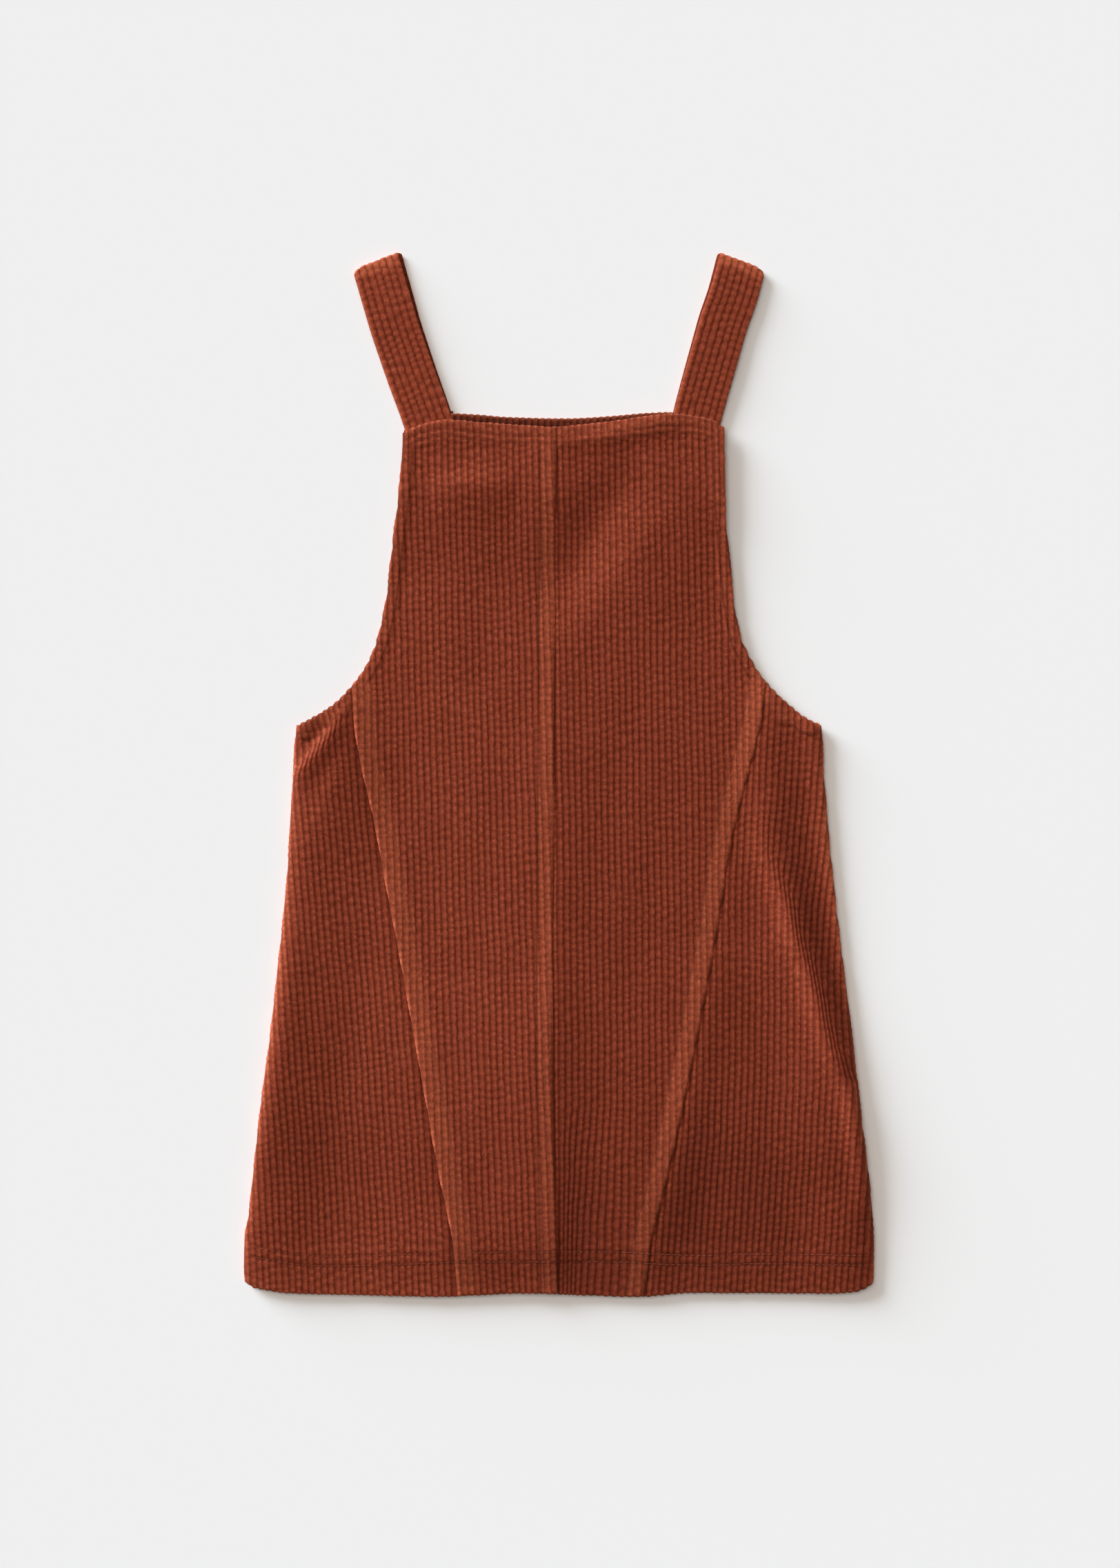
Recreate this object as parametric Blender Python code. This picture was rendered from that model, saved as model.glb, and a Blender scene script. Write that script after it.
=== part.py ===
"""A child's corduroy pinafore dress, laid flat on its back.

Metres, +Z up. X runs across the dress, Y from the hem to the straps, and the
surface it lies on is z = 0. Left and right are those of somebody who looks
down on the front. The origin is under the middle of the dress.

Each front panel is a wall of cloth. Its outer face is worked out along the
wales, a row of points for each crest and each groove, and its inner face is
plain. The back is a plain sheet that rests flat and turns up at the side
seams, where it meets the front half way up the rounded edge.
"""
import math
from typing import NamedTuple

import bpy
import numpy as np
from mathutils import Vector
from mathutils.geometry import delaunay_2d_cdt

# Cloth
CLOTH = 0.0013
BACK_CLOTH = 0.0016
WALE_PITCH = 0.00395
WALE_HEIGHT = 0.0008
SCALLOP = 0.0004
SEAM_GAP = 0.0003
LAY_GAP = 0.0004

# Side seams: a rounded edge, front over back, that flattens out at the underarm
SEAM_HEIGHT = 0.0034
FRONT_ROUND = 0.0100
BACK_ROUND = 0.0080
BACK_TURN_START = 0.040
BACK_TURN_FULL = 0.029
BACK_INSET = 0.0006
SIDE_LOFT = 0.0031
SIDE_LOFT_WIDTH = 0.050
SIDE_LOFT_START = 0.060
SIDE_LOFT_FULL = 0.025

# Share of a fold that the inner face follows; the rest thickens the wall
FOLD_INNER_SHARE = 0.6
# Share that the smaller of two overlapping folds adds to the larger
FOLD_OVERLAP_SHARE = 0.25

# Drift of the wales across each panel for every metre down it
LEAN_CENTRE_LEFT = 0.026
LEAN_CENTRE_RIGHT = 0.008
LEAN_SIDE_LEFT = 0.060
LEAN_SIDE_RIGHT = -0.045

# Raised bands, where allowances and turnings lie under the cloth
BAND_HEIGHT = 0.0011
BAND_SHOULDER = 0.0030
CENTRE_BAND = 0.0105
SHAPED_BAND = 0.0105
SHAPED_BAND_TOP = 0.0693
HEM_DEPTH = 0.0210
HEM_BAND_HEIGHT = 0.0007
EDGE_BAND = 0.0065
EDGE_BAND_HEIGHT = 0.0005

# Neck: the front rides over the facing and the ends of the straps
NECK_LOFT = 0.0024
NECK_LOFT_DEPTH = 0.034
NECK_LOFT_FADE = 0.040
FACING_DEPTH = 0.026
FACING_LEFT = -0.0630
FACING_RIGHT = 0.0645
FACING_CLOTH = 0.0011
FACING_WALE = 0.0006

# Straps
STRAP_CLOTH = 0.0014
STRAP_WALE = 0.0006
STRAP_UNDER = 0.0017
STRAP_LIFT = 0.0020
STRAP_ARCH = 0.0007
STRAP_TUCK = 0.0040
STRAP_WALES = 7
STRAP_SKEW = math.radians(4.6)
STRAP_SKEW_REACH = 0.4
STRAP_STATIONS = 8
FOLD_STEPS = 6
# Share of its sideways shift that a back half has lost when it meets the back
UNDER_SHIFT_LOSS = 0.75

# Spacing of the points
ROW_STEP = 0.046
CREASE_ROW_STEP = 0.022
FOLD_ROW_STEP = 0.018
BACK_ROW_STEP = 0.092
INNER_COLUMN = 0.020
BACK_COLUMN = 0.0055
BACK_FLAT_COLUMN = 0.0495
BOUNDARY_STEP = 0.024
# Distances in from the side seam of the columns that carry the rounding
FRONT_TURN_COLUMNS = (0.0015, 0.0045, FRONT_ROUND)
BACK_TURN_COLUMNS = (0.0006, 0.0022, 0.0048, BACK_ROUND)
# Clear distance from the outline to the nearest point inside it, in columns
OUTER_CLEARANCE = 0.7
INNER_CLEARANCE = 0.15
TURN_CLEARANCE = 0.4
BACK_CLEARANCE = 0.9
OUTLINE_CLEARANCE = 0.45
GRAIN_STRETCH = 12.0
REFERENCE_Y = 0.220
CURVE_STEP = 0.0005
ROUND_SAMPLES = 181
HALVINGS = 40
MERGE_DISTANCE = 1e-9

CORDUROY = (0.185, 0.032, 0.0135)
CORDUROY_DEEP = (0.120, 0.020, 0.0090)
CORDUROY_ROUGHNESS = 0.92
SHARP_ANGLE = math.radians(30.0)


class Point(NamedTuple):
    """A point of an outline or a seam."""

    x: float
    y: float


class Fold(NamedTuple):
    """One straight stretch of a soft ridge, or of a trough if height < 0."""

    x0: float
    y0: float
    x1: float
    y1: float
    half_width: float
    height: float


class Panel(NamedTuple):
    """A front panel: its edges, the lean of its wales and its side edge."""

    name: str
    edges: list
    lean: float
    side: int
    row_step: float


# Armholes, from the corner of the bib down to the underarm
ARMHOLE_LEFT = [
    Point(-0.0958, 0.2090), Point(-0.0961, 0.1990), Point(-0.0973, 0.1785),
    Point(-0.1003, 0.1530), Point(-0.1025, 0.1350), Point(-0.1052, 0.1113),
    Point(-0.1103, 0.0861), Point(-0.1166, 0.0693), Point(-0.1220, 0.0609),
    Point(-0.1287, 0.0525), Point(-0.1371, 0.0441), Point(-0.1502, 0.0357),
    Point(-0.1602, 0.0304),
]
ARMHOLE_RIGHT = [
    Point(0.1012, 0.2120), Point(0.1011, 0.2000), Point(0.1013, 0.1785),
    Point(0.1025, 0.1530), Point(0.1040, 0.1365), Point(0.1065, 0.1113),
    Point(0.1107, 0.0861), Point(0.1182, 0.0693), Point(0.1237, 0.0609),
    Point(0.1308, 0.0525), Point(0.1397, 0.0441), Point(0.1502, 0.0357),
    Point(0.1602, 0.0310),
]

# Side seams, from the underarm to the hem
SIDE_LEFT = [
    Point(-0.1602, 0.0304), Point(-0.1615, 0.0189), Point(-0.1623, 0.0021),
    Point(-0.1644, -0.0315), Point(-0.1665, -0.0651), Point(-0.1699, -0.0987),
    Point(-0.1775, -0.1659), Point(-0.1821, -0.1995), Point(-0.1896, -0.2667),
    Point(-0.1921, -0.2835), Point(-0.1925, -0.3003), Point(-0.1918, -0.3085),
]
SIDE_RIGHT = [
    Point(0.1602, 0.0310), Point(0.1611, 0.0189), Point(0.1619, 0.0021),
    Point(0.1644, -0.0315), Point(0.1678, -0.0651), Point(0.1716, -0.0987),
    Point(0.1800, -0.1659), Point(0.1838, -0.1995), Point(0.1913, -0.2667),
    Point(0.1922, -0.2835), Point(0.1923, -0.3000), Point(0.1920, -0.3085),
]

# Seams of the front, from the top down
CENTRE_SEAM = [
    Point(-0.0019, 0.2140), Point(-0.0023, 0.1575), Point(-0.0032, 0.0100),
    Point(-0.0040, -0.1743), Point(-0.0031, -0.2250), Point(-0.0011, -0.3160),
]
SHAPED_LEFT = [
    Point(-0.1262, 0.0560), Point(-0.1242, 0.0302), Point(-0.1195, 0.0034),
    Point(-0.1124, -0.0273), Point(-0.1065, -0.0592), Point(-0.0983, -0.1016),
    Point(-0.0806, -0.1995), Point(-0.0733, -0.2398), Point(-0.0641, -0.2864),
    Point(-0.0611, -0.3180),
]
SHAPED_RIGHT = [
    Point(0.1262, 0.0580), Point(0.1222, 0.0302), Point(0.1174, 0.0105),
    Point(0.1105, -0.0155), Point(0.1044, -0.0428), Point(0.0967, -0.0899),
    Point(0.0926, -0.1134), Point(0.0750, -0.2037), Point(0.0632, -0.2554),
    Point(0.0569, -0.2801), Point(0.0513, -0.3180),
]

# Hem and neck edges, from left to right
HEM = [
    Point(-0.1918, -0.3085), Point(-0.1860, -0.3122), Point(-0.1780, -0.3139),
    Point(-0.1640, -0.3157), Point(-0.1200, -0.3168), Point(-0.0716, -0.3178),
    Point(-0.0212, -0.3158), Point(0.0180, -0.3170), Point(0.0480, -0.3179),
    Point(0.0800, -0.3155), Point(0.1650, -0.3158), Point(0.1800, -0.3148),
    Point(0.1867, -0.3128), Point(0.1920, -0.3085),
]
FRONT_NECK = [
    Point(-0.0958, 0.2090), Point(-0.0858, 0.2135), Point(-0.0683, 0.2172),
    Point(-0.0464, 0.2155), Point(-0.0212, 0.2138), Point(-0.0023, 0.2129),
    Point(0.0166, 0.2146), Point(0.0305, 0.2160), Point(0.0536, 0.2194),
    Point(0.0680, 0.2207), Point(0.0821, 0.2195), Point(0.0930, 0.2170),
    Point(0.1012, 0.2120),
]
BACK_NECK = [
    Point(-0.0665, 0.2215), Point(-0.0500, 0.2207), Point(-0.0320, 0.2192),
    Point(0.0040, 0.2183), Point(0.0300, 0.2196), Point(0.0520, 0.2215),
    Point(0.0655, 0.2222),
]

# Straight shoulders of the back, where the straps' back halves are sewn on
BACK_SHOULDER_LEFT = [Point(-0.0938, 0.2108), BACK_NECK[0]]
BACK_SHOULDER_RIGHT = [BACK_NECK[-1], Point(0.0980, 0.2128)]

# Middle line of each strap, from its fold at the shoulder to the bib
STRAP_LINE_LEFT = [
    Point(-0.1117, 0.3108), Point(-0.1060, 0.2915), Point(-0.1005, 0.2732),
    Point(-0.0947, 0.2564), Point(-0.0888, 0.2400), Point(-0.0827, 0.2237),
    Point(-0.0788, 0.2121),
]
STRAP_LINE_RIGHT = [
    Point(0.1112, 0.3101), Point(0.1060, 0.2915), Point(0.1006, 0.2762),
    Point(0.0958, 0.2596), Point(0.0911, 0.2432), Point(0.0867, 0.2276),
    Point(0.0836, 0.2159),
]
STRAP_WIDTH_LEFT = 0.0292
STRAP_WIDTH_RIGHT = 0.0305
UNDER_SHIFT_LEFT = 0.0031
UNDER_SHIFT_RIGHT = 0.0016

FOLDS = [
    # long fold of the right side: crest, then the hollow beside it
    Fold(0.1238, -0.0100, 0.1334, -0.0626, 0.0085, 0.0012),
    Fold(0.1334, -0.0626, 0.1451, -0.0987, 0.0080, 0.0026),
    Fold(0.1451, -0.0987, 0.1573, -0.1310, 0.0080, 0.0030),
    Fold(0.1573, -0.1310, 0.1665, -0.1655, 0.0080, 0.0026),
    Fold(0.1665, -0.1655, 0.1790, -0.1890, 0.0080, 0.0018),
    Fold(0.1420, -0.0500, 0.1535, -0.0950, 0.0070, -0.0012),
    Fold(0.1535, -0.0950, 0.1620, -0.1330, 0.0070, -0.0014),
    Fold(0.1620, -0.1330, 0.1740, -0.1750, 0.0070, -0.0010),
    # crease from the left armhole to the side seam
    Fold(-0.1330, 0.0370, -0.1400, 0.0270, 0.0070, 0.0014),
    Fold(-0.1400, 0.0270, -0.1560, 0.0020, 0.0070, 0.0019),
    Fold(-0.1450, 0.0330, -0.1560, 0.0160, 0.0060, -0.0007),
    # soft swell of the bib's right half
    Fold(0.0250, 0.1239, 0.0796, 0.1617, 0.0150, 0.0014),
    Fold(0.0100, 0.1700, 0.0300, 0.1520, 0.0110, -0.0004),
    # hollow beside the centre front, near the hem
    Fold(0.0090, -0.2150, 0.0100, -0.3150, 0.0080, -0.0004),
]


def smooth_curve(xs, ys):
    """Return a function: the monotone cubic through rising xs and their ys."""
    xs = np.asarray(xs, float)
    ys = np.asarray(ys, float)
    steps = np.diff(xs)
    slopes = np.diff(ys) / steps
    tangents = np.empty(len(xs))
    tangents[0] = slopes[0]
    tangents[-1] = slopes[-1]
    for i in range(1, len(xs) - 1):
        if slopes[i - 1] * slopes[i] <= 0.0:
            tangents[i] = 0.0
        else:
            before = 2.0 * steps[i] + steps[i - 1]
            after = steps[i] + 2.0 * steps[i - 1]
            tangents[i] = (before + after) / (before / slopes[i - 1] + after / slopes[i])

    def value(x):
        x = np.clip(np.asarray(x, float), xs[0], xs[-1])
        k = np.clip(np.searchsorted(xs, x) - 1, 0, len(steps) - 1)
        t = (x - xs[k]) / steps[k]
        rise = ys[k + 1] - ys[k]
        start = steps[k] * tangents[k]
        end = steps[k] * tangents[k + 1]
        return (ys[k] + t * (start + t * ((3.0 * rise - 2.0 * start - end)
                                          + t * (start + end - 2.0 * rise))))

    return value


def by_height(points):
    """Curve x(y) of a table that runs downwards."""
    rows = points[::-1]
    return smooth_curve([p.y for p in rows], [p.x for p in rows])


def by_width(points):
    """Curve y(x) of a table that runs from left to right."""
    return smooth_curve([p.x for p in points], [p.y for p in points])


armhole_left = by_height(ARMHOLE_LEFT)
armhole_right = by_height(ARMHOLE_RIGHT)
side_left = by_height(SIDE_LEFT)
side_right = by_height(SIDE_RIGHT)
centre_seam = by_height(CENTRE_SEAM)
shaped_left = by_height(SHAPED_LEFT)
shaped_right = by_height(SHAPED_RIGHT)
hem = by_width(HEM)
front_neck = by_width(FRONT_NECK)
back_neck = by_width(BACK_NECK)


def smooth_step(low, high, value):
    """0 below low, 1 above high, and a soft rise between."""
    t = np.clip((value - low) / (high - low), 0.0, 1.0)
    return t * t * (3.0 - 2.0 * t)


def run_down(curve, top, bottom):
    """Points of x(y) from height top to height bottom."""
    count = max(2, int(abs(top - bottom) / CURVE_STEP))
    ys = np.linspace(top, bottom, count)
    return np.column_stack([curve(ys), ys])


def run_across(curve, start, end):
    """Points of y(x) from x = start to x = end."""
    count = max(2, int(abs(end - start) / CURVE_STEP))
    xs = np.linspace(start, end, count)
    return np.column_stack([xs, curve(xs)])


def shift(points, dx):
    """The same points, moved across the dress."""
    return points + np.array([dx, 0.0])


def sign_change(value, top, bottom):
    """Height at which value(y), above zero at the top, falls to zero."""
    for _ in range(HALVINGS):
        middle = 0.5 * (top + bottom)
        if value(middle) > 0.0:
            top = middle
        else:
            bottom = middle
    return top


# ---------------------------------------------------------------------------
# The rounded side edge: distance along the cloth against distance across
# ---------------------------------------------------------------------------
ROUND_ANGLES = np.linspace(0.0, math.pi / 2.0, ROUND_SAMPLES)
ROUND_RISE = SIDE_LOFT + CLOTH + LAY_GAP + BACK_CLOTH - SEAM_HEIGHT
ROUND_ACROSS = FRONT_ROUND * (1.0 - np.cos(ROUND_ANGLES))
ROUND_UP = np.sin(ROUND_ANGLES)
ROUND_ALONG = np.concatenate([[0.0], np.cumsum(np.hypot(
    np.diff(ROUND_ACROSS), np.diff(ROUND_UP) * ROUND_RISE))])
ROUND_EXTRA = ROUND_ALONG[-1] - FRONT_ROUND


def side_edge(side, y):
    """x of the side seam at height y; it runs straight up above the underarm."""
    return side_left(y) if side < 0 else side_right(y)


def flat_to_cloth(side, x, y):
    """Place along the cloth (w) of a point seen at x, without lean."""
    if side == 0:
        return x
    inward = (x - side_edge(side, y)) * -side
    along = np.where(inward < FRONT_ROUND,
                     np.interp(inward, ROUND_ACROSS, ROUND_ALONG) - ROUND_EXTRA, inward)
    return side_edge(side, y) - side * along


def cloth_to_flat(side, w, y):
    """x seen from above, and the share of the edge's rise reached there."""
    if side == 0:
        return w, np.ones_like(w)
    edge = side_edge(side, y)
    along = (w - edge) * -side + ROUND_EXTRA
    inward = np.where(along < ROUND_ALONG[-1],
                      np.interp(along, ROUND_ALONG, ROUND_ACROSS), along - ROUND_EXTRA)
    rise = np.interp(along, ROUND_ALONG, ROUND_UP)
    return edge - side * inward, rise


# ---------------------------------------------------------------------------
# Heights of the front
# ---------------------------------------------------------------------------
def fold_height(x, y):
    """Height of the soft ridges and troughs at each point.

    Where some overlap, the largest counts in full and the others in part, so
    that stretches laid end to end make one even ridge.
    """
    bumps = []
    for fold in FOLDS:
        dx = fold.x1 - fold.x0
        dy = fold.y1 - fold.y0
        length = math.hypot(dx, dy)
        along = np.clip(((x - fold.x0) * dx + (y - fold.y0) * dy) / length ** 2, 0.0, 1.0)
        gap = np.hypot(x - fold.x0 - along * dx, y - fold.y0 - along * dy)
        bumps.append(fold.height * np.exp(-(gap / fold.half_width) ** 2))
    bumps = np.array(bumps)
    largest = np.take_along_axis(bumps, np.abs(bumps).argmax(axis=0)[None], axis=0)[0]
    return largest + FOLD_OVERLAP_SHARE * (bumps.sum(axis=0) - largest)


def side_distance(x, y):
    """Distance in from the nearer side seam, across the dress."""
    return np.minimum(x - side_left(y), side_right(y) - x)


def loft(x, y):
    """How far the front stands off the back, before folds."""
    below_arm = smooth_step(SIDE_LOFT_START, SIDE_LOFT_FULL, y)
    near_side = smooth_step(SIDE_LOFT_WIDTH, FRONT_ROUND, side_distance(x, y)) * below_arm
    below_neck = front_neck(x) - y
    at_neck = smooth_step(NECK_LOFT_DEPTH + NECK_LOFT_FADE, NECK_LOFT_DEPTH, below_neck)
    return np.maximum(SIDE_LOFT * near_side, NECK_LOFT * at_neck)


def inner_height(x, y):
    """Plain inner face of the front."""
    lowest = BACK_CLOTH + LAY_GAP
    return np.maximum(lowest + loft(x, y) + FOLD_INNER_SHARE * fold_height(x, y), lowest)


def band(distance, width):
    """1 on a band that starts at distance 0, fading past its width."""
    inside = smooth_step(width + BAND_SHOULDER, width, distance)
    return np.where(distance > -SEAM_GAP, inside, 0.0)


def band_height(panel, x, y):
    """Raised bands at the seams, the hem and the free edges of a panel."""
    total = HEM_BAND_HEIGHT * band(y - hem(x), HEM_DEPTH)
    total = np.maximum(total, EDGE_BAND_HEIGHT * band(front_neck(x) - y, EDGE_BAND))
    below_arm = y < SHAPED_BAND_TOP
    if panel.name == "centre_front_left":
        total = np.maximum(total, BAND_HEIGHT * band(centre_seam(y) - x, CENTRE_BAND))
        beside_seam = BAND_HEIGHT * band(x - shaped_left(y), SHAPED_BAND)
        total = np.maximum(total, beside_seam * below_arm)
    if panel.name == "centre_front_right":
        beside_seam = BAND_HEIGHT * band(shaped_right(y) - x, SHAPED_BAND)
        total = np.maximum(total, beside_seam * below_arm)
    return total


def wale(w):
    """0 in a groove and 1 on a crest."""
    return 0.5 - 0.5 * np.cos(2.0 * math.pi * w / WALE_PITCH)


# ---------------------------------------------------------------------------
# Triangulating a piece of cloth
# ---------------------------------------------------------------------------
def inside_outline(outline, points):
    """True for each point inside the closed outline."""
    start = outline
    end = np.roll(outline, -1, axis=0)
    px = points[:, 0][:, None]
    py = points[:, 1][:, None]
    spans = (start[:, 1] > py) != (end[:, 1] > py)
    rise = np.where(end[:, 1] == start[:, 1], 1.0, end[:, 1] - start[:, 1])
    cut = start[:, 0] + (py - start[:, 1]) * (end[:, 0] - start[:, 0]) / rise
    return (spans & (px < cut)).sum(axis=1) % 2 == 1


def boundary_points(edges, column):
    """Points round a piece: its corners, each wale line crossed, and steps."""
    chosen = []
    for edge in edges:
        last = edge[0]
        chosen.append(last)
        for before, after in zip(edge[:-1], edge[1:]):
            k0 = before[0] / column
            k1 = after[0] / column
            point = None
            if math.floor(k0) != math.floor(k1):
                line = max(math.floor(k0), math.floor(k1)) * column
                t = (line - before[0]) / (after[0] - before[0])
                point = before + t * (after - before)
            elif abs(after[1] - last[1]) > BOUNDARY_STEP:
                point = after
            if point is None:
                continue
            room = OUTLINE_CLEARANCE * column
            clear = abs(point[0] - last[0]) + abs(point[1] - last[1])
            left = abs(point[0] - edge[-1][0]) + abs(point[1] - edge[-1][1])
            if clear > room and left > room:
                chosen.append(point)
                last = point
    return np.array(chosen)


def lattice(outline, column, rows, clearance):
    """Points on each wale line at each row, clear of the outline."""
    low = outline.min(axis=0)
    high = outline.max(axis=0)
    ks = np.arange(math.ceil(low[0] / column), math.floor(high[0] / column) + 1)
    ws, ys = np.meshgrid(ks * column, [r for r in rows if low[1] < r < high[1]])
    points = np.column_stack([ws.ravel(), ys.ravel()])
    return clear_points(points, outline, column, clearance)


def clear_points(points, outline, column, clearance):
    """The points inside the outline that are not crowded by it."""
    if len(points) == 0:
        return points
    points = points[inside_outline(outline, points)]
    stretch = np.array([1.0, 1.0 / GRAIN_STRETCH])
    gaps = (points[:, None, :] - outline[None, :, :]) * stretch
    nearest = np.sqrt((gaps ** 2).sum(axis=2)).min(axis=1)
    return points[nearest > clearance * column]


def triangulate(outline, inner_points):
    """Triangles over the outline and the points in it, turned upwards."""
    points = np.vstack([outline, inner_points]) if len(inner_points) else outline
    scaled = [Vector((p[0], p[1] / GRAIN_STRETCH)) for p in points]
    ring = list(range(len(outline)))
    edges = [(i, (i + 1) % len(outline)) for i in ring]
    found = delaunay_2d_cdt(scaled, edges, [ring], 1, MERGE_DISTANCE)
    origin = [rows[0] for rows in found[3]]
    faces = []
    for face in found[2]:
        a, b, c = (origin[i] for i in face)
        area = ((points[b][0] - points[a][0]) * (points[c][1] - points[a][1])
                - (points[b][1] - points[a][1]) * (points[c][0] - points[a][0]))
        faces.append((a, b, c) if area > 0.0 else (a, c, b))
    return points, faces


def make_object(name, vertices, faces, colour):
    """A named mesh object with its own cloth material."""
    mesh = bpy.data.meshes.new(name)
    mesh.from_pydata([tuple(v) for v in vertices], [], faces)
    mesh.validate()
    mesh.shade_smooth()
    mesh.set_sharp_from_angle(angle=SHARP_ANGLE)
    material = bpy.data.materials.new(name + "_corduroy")
    material.use_nodes = True
    shader = material.node_tree.nodes["Principled BSDF"]
    shader.inputs["Base Color"].default_value = (*colour, 1.0)
    shader.inputs["Roughness"].default_value = CORDUROY_ROUGHNESS
    shader.inputs["Metallic"].default_value = 0.0
    mesh.materials.append(material)
    item = bpy.data.objects.new(name, mesh)
    dress.objects.link(item)
    return item


def make_wall(name, outline, top_points, bottom_points, top, bottom, colour):
    """A wall of cloth between two faces that share one outline.

    top and bottom turn points along the cloth into points in space, and are
    told which of them lie on the outline.
    """
    upper, upper_faces = triangulate(outline, top_points)
    lower, lower_faces = triangulate(outline, bottom_points)
    ring = len(outline)
    vertices = np.vstack([top(upper, ring), bottom(lower)])
    offset = len(upper)
    faces = list(upper_faces)
    faces += [(a + offset, c + offset, b + offset) for a, b, c in lower_faces]
    turn = np.roll(outline, -1, axis=0)
    signed_area = (outline[:, 0] * turn[:, 1] - turn[:, 0] * outline[:, 1]).sum()
    for i in range(ring):
        j = (i + 1) % ring
        if signed_area < 0.0:
            faces += [(i, j, j + offset), (i, j + offset, i + offset)]
        else:
            faces += [(j, i, i + offset), (j, i + offset, j + offset)]
    return make_object(name, vertices, faces, colour)


# ---------------------------------------------------------------------------
# Front panels
# ---------------------------------------------------------------------------
def lean_shift(panel, y):
    """How far the wales have drifted across, at height y."""
    return panel.lean * (REFERENCE_Y - y)


def into_cloth(panel, points):
    """From points seen in plan to points along the cloth."""
    w = flat_to_cloth(panel.side, points[:, 0], points[:, 1])
    return np.column_stack([w - lean_shift(panel, points[:, 1]), points[:, 1]])


def front_top(panel, points, ring):
    """Outer face: crests and grooves over bands, loft and folds."""
    w, y = points[:, 0], points[:, 1]
    crest = wale(w)
    x, rise = cloth_to_flat(panel.side, w + lean_shift(panel, y), y)
    ground = inner_height(x, y) + CLOTH
    raised = (1.0 - FOLD_INNER_SHARE) * fold_height(x, y) + band_height(panel, x, y)
    full = ground + np.maximum(raised, 0.0) + WALE_HEIGHT * crest
    z = SEAM_HEIGHT + (full - SEAM_HEIGHT) * rise
    free = np.zeros(len(points))
    at_hem = np.abs(y[:ring] - hem(x[:ring])) < SEAM_GAP
    at_neck = np.abs(y[:ring] - front_neck(x[:ring])) < SEAM_GAP
    free[:ring] = np.where(at_hem, -1.0, np.where(at_neck, 1.0, 0.0))
    y = y + SCALLOP * (crest - 1.0) * free * (rise > 0.5)
    return np.column_stack([x, y, z])


def front_bottom(panel, points):
    """Plain inner face, drawn in by the cloth's thickness at the side seam."""
    w, y = points[:, 0], points[:, 1]
    x, rise = cloth_to_flat(panel.side, w + lean_shift(panel, y), y)
    z = SEAM_HEIGHT + (inner_height(x, y) - SEAM_HEIGHT) * rise
    if panel.side != 0:
        inward = np.clip((x - side_edge(panel.side, y)) * -panel.side, 0.0, FRONT_ROUND)
        x = x - panel.side * CLOTH * (1.0 - inward / FRONT_ROUND)
    return np.column_stack([x, y, z])


def row_heights(step):
    """Rows of points, closer together where the hem's band ends."""
    hem_line = min(p.y for p in HEM) + HEM_DEPTH
    rows = [hem_line, hem_line + BAND_SHOULDER]
    y = rows[-1] + 0.6 * step
    while y < max(p.y for p in FRONT_NECK):
        rows.append(y)
        y += step
    return rows


def make_front(panel):
    """Build one front panel from its edges."""
    edges = [into_cloth(panel, edge) for edge in panel.edges]
    column = 0.5 * WALE_PITCH
    outline = boundary_points(edges, column)
    rows = row_heights(panel.row_step)
    top_points = lattice(outline, column, rows, OUTER_CLEARANCE)
    bottom_points = lattice(outline, INNER_COLUMN, rows, INNER_CLEARANCE)
    if panel.side != 0:
        turn = []
        for y in rows:
            edge = side_edge(panel.side, y)
            for inward in FRONT_TURN_COLUMNS:
                turn.append((edge - panel.side * inward, y))
        turn = into_cloth(panel, np.array(turn))
        bottom_points = np.vstack([bottom_points,
                                   clear_points(turn, outline, column, TURN_CLEARANCE)])
    return make_wall(panel.name, outline, top_points, bottom_points,
                     lambda p, ring: front_top(panel, p, ring),
                     lambda p: front_bottom(panel, p), CORDUROY)


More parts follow.
